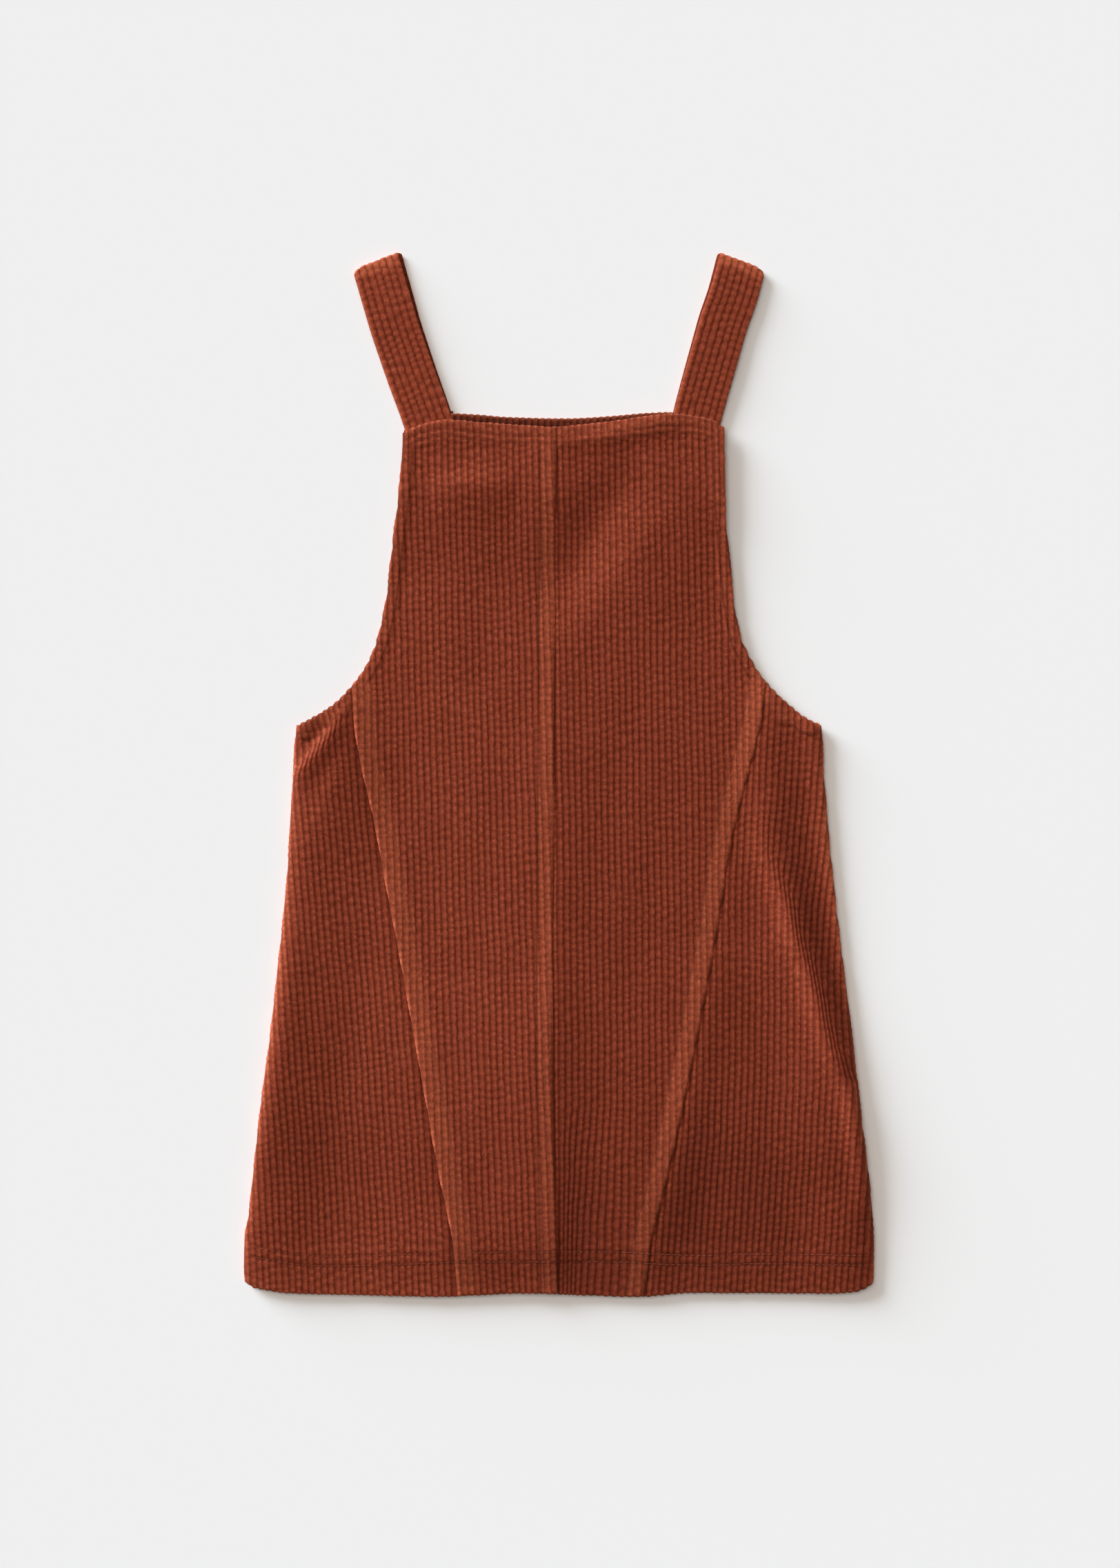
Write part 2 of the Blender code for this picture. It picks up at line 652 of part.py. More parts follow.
def make_front_panels():
    """The four panels of the front."""
    half = 0.5 * SEAM_GAP
    middle = REFERENCE_Y - 0.5 * (REFERENCE_Y - CENTRE_SEAM[-1].y)
    centre_top = sign_change(lambda y: y - front_neck(centre_seam(y)), REFERENCE_Y, middle)
    arm_left_low = sign_change(lambda y: armhole_left(y) - shaped_left(y),
                               ARMHOLE_LEFT[0].y, ARMHOLE_LEFT[-1].y)
    arm_right_low = sign_change(lambda y: shaped_right(y) - armhole_right(y),
                                ARMHOLE_RIGHT[0].y, ARMHOLE_RIGHT[-1].y)
    centre_low, left_low, right_low = (
        sign_change(lambda y, seam=seam: y - hem(seam(y)), middle, CENTRE_SEAM[-1].y - half)
        for seam in (centre_seam, shaped_left, shaped_right))
    centre = run_down(centre_seam, centre_top, centre_low)
    left_seam = run_down(shaped_left, arm_left_low, left_low)
    right_seam = run_down(shaped_right, arm_right_low, right_low)
    left_corner = SIDE_LEFT[-1]
    right_corner = SIDE_RIGHT[-1]
    panels = [
        Panel("centre_front_left", [
            shift(centre, -half),
            run_across(hem, centre[-1][0] - half, left_seam[-1][0] + half),
            shift(left_seam[::-1], half),
            run_down(armhole_left, ARMHOLE_LEFT[0].y, arm_left_low)[::-1] + (half, 0.0),
            run_across(front_neck, ARMHOLE_LEFT[0].x + half, centre[0][0] - half),
        ], LEAN_CENTRE_LEFT, 0, ROW_STEP),
        Panel("centre_front_right", [
            shift(centre[::-1], half),
            run_across(front_neck, centre[0][0] + half, ARMHOLE_RIGHT[0].x - half),
            run_down(armhole_right, ARMHOLE_RIGHT[0].y, arm_right_low) - (half, 0.0),
            shift(right_seam, -half),
            run_across(hem, right_seam[-1][0] - half, centre[-1][0] + half),
        ], LEAN_CENTRE_RIGHT, 0, ROW_STEP),
        Panel("side_front_left", [
            shift(left_seam, -half),
            run_across(hem, left_seam[-1][0] - half, left_corner.x),
            run_down(side_left, ARMHOLE_LEFT[-1].y, left_corner.y)[::-1],
            run_down(armhole_left, arm_left_low - half, ARMHOLE_LEFT[-1].y)[::-1],
        ], LEAN_SIDE_LEFT, -1, CREASE_ROW_STEP),
        Panel("side_front_right", [
            shift(right_seam, half),
            run_across(hem, right_seam[-1][0] + half, right_corner.x),
            run_down(side_right, ARMHOLE_RIGHT[-1].y, right_corner.y)[::-1],
            run_down(armhole_right, arm_right_low - half, ARMHOLE_RIGHT[-1].y)[::-1],
        ], LEAN_SIDE_RIGHT, 1, FOLD_ROW_STEP),
    ]
    for panel in panels:
        make_front(panel)


# ---------------------------------------------------------------------------
# Back, facing and straps
# ---------------------------------------------------------------------------
def make_back():
    """The plain back: flat underneath, and turned up at the side seams."""
    left_arm = run_down(armhole_left, ARMHOLE_LEFT[0].y, ARMHOLE_LEFT[-1].y)
    right_arm = run_down(armhole_right, ARMHOLE_RIGHT[0].y, ARMHOLE_RIGHT[-1].y)
    edges = [
        run_down(side_left, ARMHOLE_LEFT[-1].y - BACK_INSET, SIDE_LEFT[-1].y),
        run_across(hem, SIDE_LEFT[-1].x, SIDE_RIGHT[-1].x),
        run_down(side_right, ARMHOLE_RIGHT[-1].y - BACK_INSET, SIDE_RIGHT[-1].y)[::-1],
        shift(right_arm[::-1], -BACK_INSET),
        np.array(BACK_SHOULDER_RIGHT[::-1]),
        run_across(back_neck, BACK_NECK[-1].x, BACK_NECK[0].x),
        np.array(BACK_SHOULDER_LEFT[::-1]),
        shift(left_arm, BACK_INSET),
    ]
    outline = boundary_points(edges, BACK_COLUMN)
    turned = []
    for y in np.arange(SIDE_LEFT[-2].y, ARMHOLE_RIGHT[-1].y, BOUNDARY_STEP):
        for inward in BACK_TURN_COLUMNS:
            turned.append((side_left(y) + inward, y))
            turned.append((side_right(y) - inward, y))
    turned = np.array(turned)
    turned = turned[inside_outline(outline, turned)]
    flat = lattice(outline, BACK_FLAT_COLUMN, row_heights(BACK_ROW_STEP), BACK_CLEARANCE
                   * BACK_COLUMN / BACK_FLAT_COLUMN)
    flat = flat[side_distance(flat[:, 0], flat[:, 1]) > 2.0 * BACK_ROUND]
    points = np.vstack([turned, flat])

    def turn_up(x, y):
        inward = np.clip(side_distance(x, y) / BACK_ROUND, 0.0, 1.0)
        below_arm = smooth_step(BACK_TURN_START, BACK_TURN_FULL, y)
        rise = (1.0 - np.sqrt(1.0 - (1.0 - inward) ** 2)) * below_arm
        return (1.0 - inward) * below_arm, rise

    def under(points):
        x, y = points[:, 0], points[:, 1]
        return np.column_stack([x, y, (SEAM_HEIGHT - SEAM_GAP) * turn_up(x, y)[1]])

    def top(points, ring):
        x, y = points[:, 0], points[:, 1]
        outward, rise = turn_up(x, y)
        drawn_in = BACK_CLOTH * outward * -np.sign(x)
        z = BACK_CLOTH + (SEAM_HEIGHT - SEAM_GAP - BACK_CLOTH) * rise
        return np.column_stack([x + drawn_in, y, z])

    return make_wall("back", outline, points, points, top, under, CORDUROY)


def make_facing():
    """The strip of corduroy inside the back neck, wales upwards."""
    top_edge = run_across(back_neck, FACING_LEFT, FACING_RIGHT) - (0.0, SEAM_GAP)
    low_edge = top_edge[::-1] - (0.0, FACING_DEPTH)
    edges = [
        top_edge,
        np.array([top_edge[-1], low_edge[0]]),
        low_edge,
        np.array([low_edge[-1], top_edge[0]]),
    ]
    column = 0.5 * WALE_PITCH
    outline = boundary_points(edges, column)
    bottom = BACK_CLOTH + SEAM_GAP

    def top(points, ring):
        z = np.full(len(points), bottom + FACING_CLOTH) + FACING_WALE * wale(points[:, 0])
        return np.column_stack([points, z])

    def under(points):
        return np.column_stack([points, np.full(len(points), bottom)])

    no_points = np.empty((0, 2))
    return make_wall("back_neck_facing", outline, no_points, no_points, top, under,
                     CORDUROY_DEEP)


def strap_stations(line, side):
    """Places along a strap, with its directions ahead and across there."""
    table = np.array(line)
    run = np.concatenate([[0.0], np.cumsum(np.linalg.norm(np.diff(table, axis=0), axis=1))])
    x_at = smooth_curve(run, table[:, 0])
    y_at = smooth_curve(run, table[:, 1])
    stops = np.linspace(0.0, run[-1], STRAP_STATIONS)
    reach = 0.5 * STRAP_TUCK
    ahead = np.column_stack([x_at(stops + reach) - x_at(stops - reach),
                             y_at(stops + reach) - y_at(stops - reach)])
    ahead /= np.linalg.norm(ahead, axis=1)[:, None]
    share = stops / run[-1]
    skew = -side * STRAP_SKEW * (1.0 - smooth_step(0.0, STRAP_SKEW_REACH, share))
    across = np.column_stack([-ahead[:, 1] * np.cos(skew) - ahead[:, 0] * np.sin(skew),
                              ahead[:, 0] * np.cos(skew) - ahead[:, 1] * np.sin(skew)])
    return np.column_stack([x_at(stops), y_at(stops)]), ahead, across, share


def strap_section(centre, ahead, across, width, outer, inner):
    """Points round one section: the waled face, then the plain one."""
    outer_pull, outer_z = outer
    inner_pull, inner_z = inner
    lateral = np.linspace(-0.5, 0.5, len(outer_z)) * width
    lining = np.linspace(0.5, -0.5, 3) * width
    shell = centre + lateral[:, None] * across + outer_pull[:, None] * ahead
    inside = centre + lining[:, None] * across + inner_pull * ahead
    return np.vstack([np.column_stack([shell, outer_z]),
                      np.column_stack([inside, np.full(len(lining), inner_z)])])


def make_strap(name, line, width, under_shift, side, seat):
    """One strap: front half, soft fold at the shoulder, back half beneath."""
    centres, ahead, across, share = strap_stations(line, side)
    count = 2 * STRAP_WALES + 1
    none = np.zeros(count)
    crest = STRAP_WALE * (0.5 - 0.5 * np.cos(math.pi * np.arange(count)))
    ground = STRAP_LIFT + STRAP_CLOTH
    tucked = centres[-1] + ahead[-1] * STRAP_TUCK
    sections = [strap_section(tucked, ahead[-1], across[-1], width,
                              (none, ground + crest), (0.0, STRAP_LIFT))]
    for i in reversed(range(len(centres))):
        arch = STRAP_ARCH * math.sin(math.pi * share[i])
        sections.append(strap_section(centres[i], ahead[i], across[i], width,
                                      (none, ground + arch + crest), (0.0, STRAP_LIFT + arch)))

    outer_radius = 0.5 * ground
    inner_radius = 0.5 * (STRAP_LIFT - STRAP_UNDER)
    inner_middle = 0.5 * (STRAP_LIFT + STRAP_UNDER)
    for k in range(1, FOLD_STEPS):
        angle = math.pi * k / FOLD_STEPS
        radius = outer_radius + crest * math.cos(0.5 * angle)
        height = np.maximum(outer_radius + radius * math.cos(angle), 0.0)
        slide = np.array([-side * 0.5 * (1.0 - math.cos(angle)) * under_shift, 0.0])
        sections.append(strap_section(
            centres[0] + slide, ahead[0], across[0], width, (-radius * math.sin(angle), height),
            (-inner_radius * math.sin(angle), inner_middle + inner_radius * math.cos(angle))))

    for i in range(len(centres) - 1):
        slide = np.array([-side * under_shift * (1.0 - UNDER_SHIFT_LOSS * share[i]), 0.0])
        sections.append(strap_section(centres[i] + slide, ahead[i], across[i], width,
                                      (none, none), (0.0, STRAP_UNDER)))
    slope = (seat[1].y - seat[0].y) / (seat[1].x - seat[0].x)
    level = math.cos(math.atan(slope))
    end = strap_section(np.zeros(2), np.zeros(2), np.array([level, 0.0]), width,
                        (none, none), (0.0, STRAP_UNDER))
    end[:, 0] += centres[-1][0] - side * (1.0 - UNDER_SHIFT_LOSS) * under_shift
    end[:, 1] = seat[0].y + slope * (end[:, 0] - seat[0].x) + SEAM_GAP / level
    sections.append(end)

    size = len(end)
    faces = []
    for s in range(len(sections) - 1):
        for i in range(size):
            a, b = s * size + i, s * size + (i + 1) % size
            faces.append((a, b, b + size, a + size))
    faces.append(tuple(range(size))[::-1])
    faces.append(tuple((len(sections) - 1) * size + i for i in range(size)))
    return make_object(name, np.vstack(sections), faces, CORDUROY)


for old in list(bpy.data.objects):
    bpy.data.objects.remove(old, do_unlink=True)

dress = bpy.data.collections.new("pinafore_dress")
bpy.context.scene.collection.children.link(dress)

make_front_panels()
make_back()
make_facing()
make_strap("strap_left", STRAP_LINE_LEFT, STRAP_WIDTH_LEFT, UNDER_SHIFT_LEFT, -1,
           BACK_SHOULDER_LEFT)
make_strap("strap_right", STRAP_LINE_RIGHT, STRAP_WIDTH_RIGHT, UNDER_SHIFT_RIGHT, 1,
           BACK_SHOULDER_RIGHT)
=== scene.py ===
"""Dressing of a child's corduroy pinafore dress that lies flat on its back.

Metres, +Z up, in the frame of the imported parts: X runs across the dress, Y
from the hem to the straps, and the surface it lies on is z = 0. Left and right
are those of somebody who looks down on the front.

Every panel is a thin shell of cloth on the form of its solid. Its outer face
is meshed along the wales, so that a tree of geometry nodes can raise each of
them, and its shader reads how far up a wale each point lies.
"""

import logging
import math
from dataclasses import dataclass
from enum import Enum
from typing import Any, Callable, NamedTuple, Sequence

import bpy
import numpy as np
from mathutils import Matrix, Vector
from mathutils.geometry import delaunay_2d_cdt


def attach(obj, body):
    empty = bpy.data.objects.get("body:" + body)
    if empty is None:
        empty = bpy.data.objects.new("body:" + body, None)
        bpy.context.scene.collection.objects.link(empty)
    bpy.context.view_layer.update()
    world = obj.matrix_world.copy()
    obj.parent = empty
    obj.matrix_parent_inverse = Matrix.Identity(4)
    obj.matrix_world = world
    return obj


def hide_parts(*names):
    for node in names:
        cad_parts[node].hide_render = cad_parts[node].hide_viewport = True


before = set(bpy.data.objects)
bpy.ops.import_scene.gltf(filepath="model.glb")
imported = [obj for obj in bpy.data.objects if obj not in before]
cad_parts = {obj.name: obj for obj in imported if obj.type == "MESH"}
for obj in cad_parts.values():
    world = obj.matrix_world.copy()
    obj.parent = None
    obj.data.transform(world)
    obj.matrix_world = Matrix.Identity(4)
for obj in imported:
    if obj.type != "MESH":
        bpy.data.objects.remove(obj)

Array = np.ndarray
Socket, Object, Material = bpy.types.NodeSocket, bpy.types.Object, bpy.types.Material
Colour = tuple[float, float, float]
logging.basicConfig(level=logging.INFO, format="%(message)s")
log = logging.getLogger("pinafore")

BODY = "root"
TENTHS_A_METRE = 10000

# Cloth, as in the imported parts
CLOTH = 0.0013
BACK_CLOTH = 0.0016
GROOVE = 0.0001
WALE_PITCH = 0.00395
SEAM_GAP = 0.0003
SEAM_LAP = 0.0003
LAP_LIFT = 0.0005
LAP_REACH = (0.0016, 0.0006)
LAY_GAP = 0.0004
SEAM_HEIGHT = 0.0034
FRONT_ROUND = 0.0100
FRONT_ROUND_RISE = 0.0030
BACK_ROUND = 0.0080
BACK_TURN_START = 0.040
BACK_TURN_FULL = 0.029
SIDE_LOFT = 0.0031
SIDE_LOFT_WIDTH = 0.060
LEFT_LOFT_SHARE = 0.65
SIDE_LOFT_START = 0.060
SIDE_LOFT_FULL = 0.025
NECK_LOFT = 0.0024
NECK_LOFT_DEPTH = 0.034
NECK_LOFT_FADE = 0.065
FOLD_INNER_SHARE = 0.6
REST_LOFT = 0.0010
HEM_SETTLED = 0.7
# Painted light and shade on the folds: the way to the lamp, its strength, and its most
TOWARDS_LAMP = (-0.755, 0.656)
FOLD_LIGHT_SHARE = 1.5
FOLD_LIGHT_MOST = 0.35
REFERENCE_Y = 0.220

# Height of a wale above its grooves
FRONT_WALE = 0.0008
BACK_WALE = 0.0006
STRAP_WALE = 0.0006
FACING_WALE = 0.0007


class Point(NamedTuple):
    """A point of an outline or a seam."""

    x: float
    y: float


class Gather(NamedTuple):
    """A place on a fold line, and the cloth that the fold has swallowed there."""

    x: float
    y: float
    swallowed: float


def tenths(*rows: tuple[int, ...]) -> tuple[Any, ...]:
    """Points, or gathers where a row has three numbers, in tenths of a millimetre."""
    return tuple((Gather if len(row) == 3 else Point)(*(n / TENTHS_A_METRE for n in row))
                 for row in rows)


# A number that changes with height, as pairs of y and value from the top down
Levels = tuple[tuple[float, float], ...]


class Reading(Enum):
    """Which way a table of points is read."""

    BY_HEIGHT = "x at each y, from the top down"
    BY_WIDTH = "y at each x, from left to right"


class Finish(Enum):
    """How an edge of a piece of cloth is finished."""

    SEAM = "sewn down to its neighbour"
    LAPPED = "pressed back over its allowance, beside a lower neighbour"
    TURNED = "turned under and stitched"
    SIDE = "rounded over at the side seam"
    HIDDEN = "covered by another piece"


# Outline and seams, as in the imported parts, in tenths of a millimetre
ARMHOLE_LEFT = tenths(
    (-958, 2090), (-961, 1990), (-973, 1785), (-1003, 1530), (-1025, 1350), (-1052, 1113),
    (-1103, 861), (-1166, 693), (-1220, 609), (-1287, 525), (-1371, 441), (-1502, 357),
    (-1602, 304))
ARMHOLE_RIGHT = tenths(
    (1012, 2120), (1011, 2000), (1013, 1785), (1025, 1530), (1040, 1365), (1065, 1113),
    (1107, 861), (1182, 693), (1237, 609), (1308, 525), (1397, 441), (1502, 357), (1602, 310))
SIDE_LEFT = tenths(
    (-1602, 304), (-1615, 189), (-1623, 21), (-1644, -315), (-1665, -651), (-1699, -987),
    (-1775, -1659), (-1821, -1995), (-1896, -2667), (-1921, -2835), (-1925, -3003),
    (-1918, -3085))
SIDE_RIGHT = tenths(
    (1602, 310), (1611, 189), (1619, 21), (1644, -315), (1678, -651), (1716, -987),
    (1800, -1659), (1838, -1995), (1913, -2667), (1922, -2835), (1923, -3000), (1920, -3085))
CENTRE_SEAM = tenths(
    (-19, 2140), (-23, 1575), (-32, 100), (-40, -1743), (-31, -2250), (-11, -3160))
SHAPED_LEFT = tenths(
    (-1262, 560), (-1242, 302), (-1195, 34), (-1124, -273), (-1065, -592), (-983, -1016),
    (-806, -1995), (-733, -2398), (-641, -2864), (-611, -3180))
SHAPED_RIGHT = tenths(
    (1262, 580), (1222, 302), (1174, 105), (1105, -155), (1044, -428), (967, -899), (926, -1134),
    (750, -2037), (632, -2554), (569, -2801), (513, -3180))
HEM = tenths(
    (-1918, -3085), (-1860, -3122), (-1780, -3139), (-1640, -3157), (-1200, -3168),
    (-716, -3178), (-212, -3158), (180, -3170), (480, -3179), (800, -3155), (1650, -3158),
    (1800, -3148), (1867, -3128), (1920, -3085))
FRONT_NECK = tenths(
    (-958, 2090), (-858, 2135), (-683, 2172), (-464, 2155), (-212, 2138), (-23, 2129),
    (166, 2146), (305, 2160), (536, 2194), (680, 2207), (821, 2195), (930, 2170), (1012, 2120))
BACK_NECK = tenths(
    (-665, 2215), (-500, 2207), (-320, 2192), (40, 2183), (300, 2196), (520, 2215), (655, 2222))
# Rows of stitches under the neck edge and above the hem
NECK_ROW = tenths(
    (-900, 2058), (-813, 2092), (-685, 2109), (-527, 2090), (-302, 2069), (19, 2064),
    (271, 2083), (536, 2115), (680, 2130), (796, 2125), (960, 2090))
HEM_ROW = tenths(
    (-1880, -2925), (-1804, -2940), (-1598, -2974), (-1367, -2986), (-947, -2974), (-649, -2963),
    (-120, -2957), (380, -2960), (546, -2970), (900, -2981), (1200, -2972), (1880, -2980))
# Rows that hold the armholes' hems beside the side seams
UNDERARM_ROWS_LEFT = (
    tenths((-1610, 256), (-1518, 265), (-1447, 286)),
    tenths((-1590, 222), (-1500, 212)),
)
UNDERARM_ROWS_RIGHT = (
    tenths((1317, 311), (1430, 296), (1493, 258), (1530, 247), (1610, 268)),
)
BACK_SHOULDER_LEFT = (Point(-0.0938, 0.2108), BACK_NECK[0])
BACK_SHOULDER_RIGHT = (BACK_NECK[-1], Point(0.0980, 0.2128))

# Middle line of each strap, from its fold at the shoulder to the bib
STRAP_LINE_LEFT = tenths(
    (-1117, 3124), (-1056, 2915), (-1002, 2732), (-945, 2564), (-887, 2400), (-827, 2237),
    (-788, 2121))
STRAP_LINE_RIGHT = tenths(
    (1118, 3122), (1060, 2915), (1006, 2762), (958, 2596), (911, 2432), (867, 2276), (836, 2159))


# ---- Curves, edges and the way round a piece ----
def smooth_step(low: float, high: float, value: Array) -> Array:
    """Rise softly from 0 at low to 1 at high, or the other way if low > high.

    Args:
        low: Where the result is 0.
        high: Where the result is 1.
        value: Places at which to read it.

    Returns:
        The share of the rise at each place.
    """
    t = np.clip((value - low) / (high - low), 0.0, 1.0)
    return t * t * (3.0 - 2.0 * t)


def nearness(distance: Array, reach: float) -> Array:
    """1 at an edge, falling evenly to 0 at a distance from it."""
    return 1.0 - np.clip(distance / reach, 0.0, 1.0)


def read_levels(levels: Levels, y: Array) -> Array:
    """Value of a table of heights at each height."""
    heights, values = zip(*levels[::-1])
    return np.interp(y, heights, values)


def running_total(steps: Array) -> Array:
    """Length passed at each point of a line, given the steps between them."""
    return np.concatenate([[0.0], np.cumsum(steps)])


class SmoothCurve:
    """A monotone cubic through a table, which runs straight on past its ends."""

    def __init__(self, points: Sequence[Point],
                 reading: Reading = Reading.BY_WIDTH) -> None:
        """Work out the tangents at the table's points.

        Args:
            points: The table, in the order that its reading names.
            reading: Which of the two numbers is looked up.
        """
        self.reading = reading
        xs, ys = np.array(points).T
        if reading is Reading.BY_HEIGHT:
            self.places, self.values = ys[::-1], xs[::-1]
        else:
            self.places, self.values = xs, ys
        self.steps = np.diff(self.places)
        slopes = np.diff(self.values) / self.steps
        self.tangents = np.zeros(len(self.places))
        self.tangents[0], self.tangents[-1] = slopes[0], slopes[-1]
        for i in range(1, len(slopes)):
            if slopes[i - 1] * slopes[i] <= 0.0:
                continue
            before = 2.0 * self.steps[i] + self.steps[i - 1]
            after = self.steps[i] + 2.0 * self.steps[i - 1]
            self.tangents[i] = ((before + after)
                                / (before / slopes[i - 1] + after / slopes[i]))

    def _terms(self, place: Array) -> tuple[Array, ...]:
        """Find each place's stretch of the curve.

        Args:
            place: Places along the curve.

        Returns:
            The index of the stretch, the share of it passed, and the three
            coefficients of its cubic.
        """
        inside = np.clip(place, self.places[0], self.places[-1])
        k = np.clip(np.searchsorted(self.places, inside) - 1, 0, len(self.steps) - 1)
        t = (inside - self.places[k]) / self.steps[k]
        rise = self.values[k + 1] - self.values[k]
        start = self.steps[k] * self.tangents[k]
        end = self.steps[k] * self.tangents[k + 1]
        return k, t, start, 3.0 * rise - 2.0 * start - end, start + end - 2.0 * rise

    def at(self, place: Array) -> Array:
        """Value of the curve at each place."""
        place = np.asarray(place, float)
        k, t, linear, square, cube = self._terms(place)
        value = self.values[k] + t * (linear + t * (square + t * cube))
        value = value + np.minimum(place - self.places[0], 0.0) * self.tangents[0]
        return value + np.maximum(place - self.places[-1], 0.0) * self.tangents[-1]

    def slope(self, place: Array) -> Array:
        """Change of the value for each metre along the curve."""
        k, t, linear, square, cube = self._terms(np.asarray(place, float))
        return (linear + t * (2.0 * square + 3.0 * t * cube)) / self.steps[k]


(armhole_left, armhole_right, side_left, side_right, centre_seam, shaped_left,
 shaped_right) = (
    SmoothCurve(table, Reading.BY_HEIGHT)
    for table in (ARMHOLE_LEFT, ARMHOLE_RIGHT, SIDE_LEFT, SIDE_RIGHT, CENTRE_SEAM,
                  SHAPED_LEFT, SHAPED_RIGHT))
hem, front_neck, back_neck = map(SmoothCurve, (HEM, FRONT_NECK, BACK_NECK))


@dataclass(frozen=True)
class Roll:
    """How the outer face turns down along an edge.

    Attributes:
        inset: Distance from the true edge in to the grooves' outline.
        depth: Share of the wall's height that is lost there.
        length: Distance over which it is lost.
        pile: Share of the wales' height that is left at the edge.
        drawn_in: How far the inner face's outline lies inside the outer one's.
        painted_rim: Painted highlight on the nap at the edge, for its sheen, or
            painted shade beside it where it is below 0.
        painted_rim_width: Distance over which that fades.
    """

    inset: float
    depth: float
    length: float
    pile: float
    drawn_in: float
    painted_rim: float = 0.0
    painted_rim_width: float = 0.001


# The last two numbers paint a highlight at the rim, or shade beside a seam where below 0, and give
# its width
ROLLS = {
    Finish.SEAM: Roll(0.00002, 0.55, 0.0050, 0.75, 0.0, -0.20, 0.0050),
    Finish.LAPPED: Roll(0.00005, 0.48, 0.0016, 0.75, 0.0, 0.45, 0.0014),
    Finish.TURNED: Roll(0.0008, 0.50, 0.0013, 0.92, 0.0004, 0.5, 0.0026),
    Finish.SIDE: Roll(0.0009, 0.0, 0.0010, 1.0, 0.0, 0.8, 0.0080),
    Finish.HIDDEN: Roll(0.0, 0.0, 0.0010, 1.0, 0.0),
}
SIDE_INSET = ROLLS[Finish.SIDE].inset


@dataclass(frozen=True)
class Band:
    """A strip along an edge that is raised by the cloth turned under it.

    Attributes:
        width: Distance in from the edge to where it ends.
        height: How far it stands up.
        shoulder: Distance over which it ends.
        reach: Distance over which it slopes down from the edge, or 0 for a level one.
        hem_height: How far it stands up besides at the hem.
        pile: Share of the wales' height that the iron has left.
        press_and_sheen: How much lighter it has been pressed, from 0 to 1.
        top: Height on the dress above which there is none of it.
    """

    width: float
    height: float
    shoulder: float = 0.003
    pile: float = 0.8
    press_and_sheen: float = 0.6
    top: float = 1.0
    reach: float = 0.0
    hem_height: float = 0.0

    FADE = 0.004
    # Heights on the dress between which hem_height comes in
    HEM_RISE = (-0.100, -0.300)


@dataclass(frozen=True)
class Edge:
    """One side of a piece of cloth.

    Attributes:
        curve: The line that it follows.
        inside: 1 where the cloth lies at larger values than the curve, or -1.
        finish: How it is finished.
        start: Where it starts along the curve, going round the piece.
        end: Where it ends.
        gap: Distance kept from the curve for the seam.
        band: The raised strip along it, if any.
        rim: Scale of the painted rim highlight along it, or below 0 of painted shade there.
    """

    curve: SmoothCurve
    inside: int
    finish: Finish
    start: float
    end: float
    gap: float = 0.0
    band: Band | None = None
    rim: float = 1.0

    OVERRUN = 0.004
    STEP = 0.0004

    @property
    def roll(self) -> Roll:
        """How the outer face turns down here."""
        return ROLLS[self.finish]

    def line(self) -> Array:
        """Points along it, moved in by its gap and inset, past both its ends."""
        direction = math.copysign(1.0, self.end - self.start)
        first = self.start - direction * self.OVERRUN
        last = self.end + direction * self.OVERRUN
        places = np.linspace(first, last, max(8, int(abs(last - first) / self.STEP)))
        slope = self.curve.slope(places)
        reach = self.inside * (self.gap + self.roll.inset) / np.hypot(1.0, slope)
        along = places - reach * slope
        value = self.curve.at(places) + reach
        if self.curve.reading is Reading.BY_HEIGHT:
            return np.column_stack([value, along])
        return np.column_stack([along, value])

    def distance(self, x: Array, y: Array) -> Array:
        """Distance of points inside the grooves' outline, past its ends too.

        Args:
            x: Places across the dress.
            y: Places up the dress.

        Returns:
            Metres from the edge, below 0 outside the piece.
        """
        along, value = (y, x) if self.curve.reading is Reading.BY_HEIGHT else (x, y)
        low, high = min(self.start, self.end), max(self.start, self.end)
        beyond = np.maximum(low - along, 0.0) + np.maximum(along - high, 0.0)
        near = np.clip(along, low, high)
        straight = (value - self.curve.at(near)) * self.inside
        straight = straight / np.hypot(1.0, self.curve.slope(near))
        straight = straight - self.gap - self.roll.inset
        return np.where(beyond > 0.0, np.hypot(beyond, straight), straight)


def sign_change(value: Callable[[float], float], top: float, bottom: float) -> float:
    """Find where a number that is above zero at the top falls to zero.

    Args:
        value: The number at each height.
        top: A height where it is above zero.
        bottom: A height where it is not.

    Returns:
        The height of the change.
    """
    for _ in range(40):
        middle = 0.5 * (top + bottom)
        if value(middle) > 0.0:
            top = middle
        else:
            bottom = middle
    return top


def crossing(first: Array, second: Array) -> tuple[float, float]:
    """Find where the end of one line crosses the start of the next.

    Args:
        first: Points of the first line.
        second: Points of the second line.

    Returns:
        The place along each line, in steps and shares of a step.
    """
    a, da = first[:-1, None], np.diff(first, axis=0)[:, None]
    b, db = second[None, :-1], np.diff(second, axis=0)[None, :]
    cross = da[..., 0] * db[..., 1] - da[..., 1] * db[..., 0]
    cross = np.where(np.abs(cross) < 1e-18, 1e-18, cross)
    gap = b - a
    t = (gap[..., 0] * db[..., 1] - gap[..., 1] * db[..., 0]) / cross
    s = (gap[..., 0] * da[..., 1] - gap[..., 1] * da[..., 0]) / cross
    i, j = np.nonzero((t >= 0.0) & (t <= 1.0) & (s >= 0.0) & (s <= 1.0))
    if len(i) == 0:
        raise ValueError("two edges that should meet do not")
    last = np.argmax(i - j * 1e-3)
    return i[last] + t[i[last], j[last]], j[last] + s[i[last], j[last]]


def cut_line(line: Array, start: float, end: float) -> Array:
    """The part of a line between two places along it."""
    whole = np.arange(math.floor(start) + 1, math.ceil(end))
    places = np.concatenate([[start], whole, [end]])
    return np.column_stack([np.interp(places, np.arange(len(line)), v) for v in line.T])


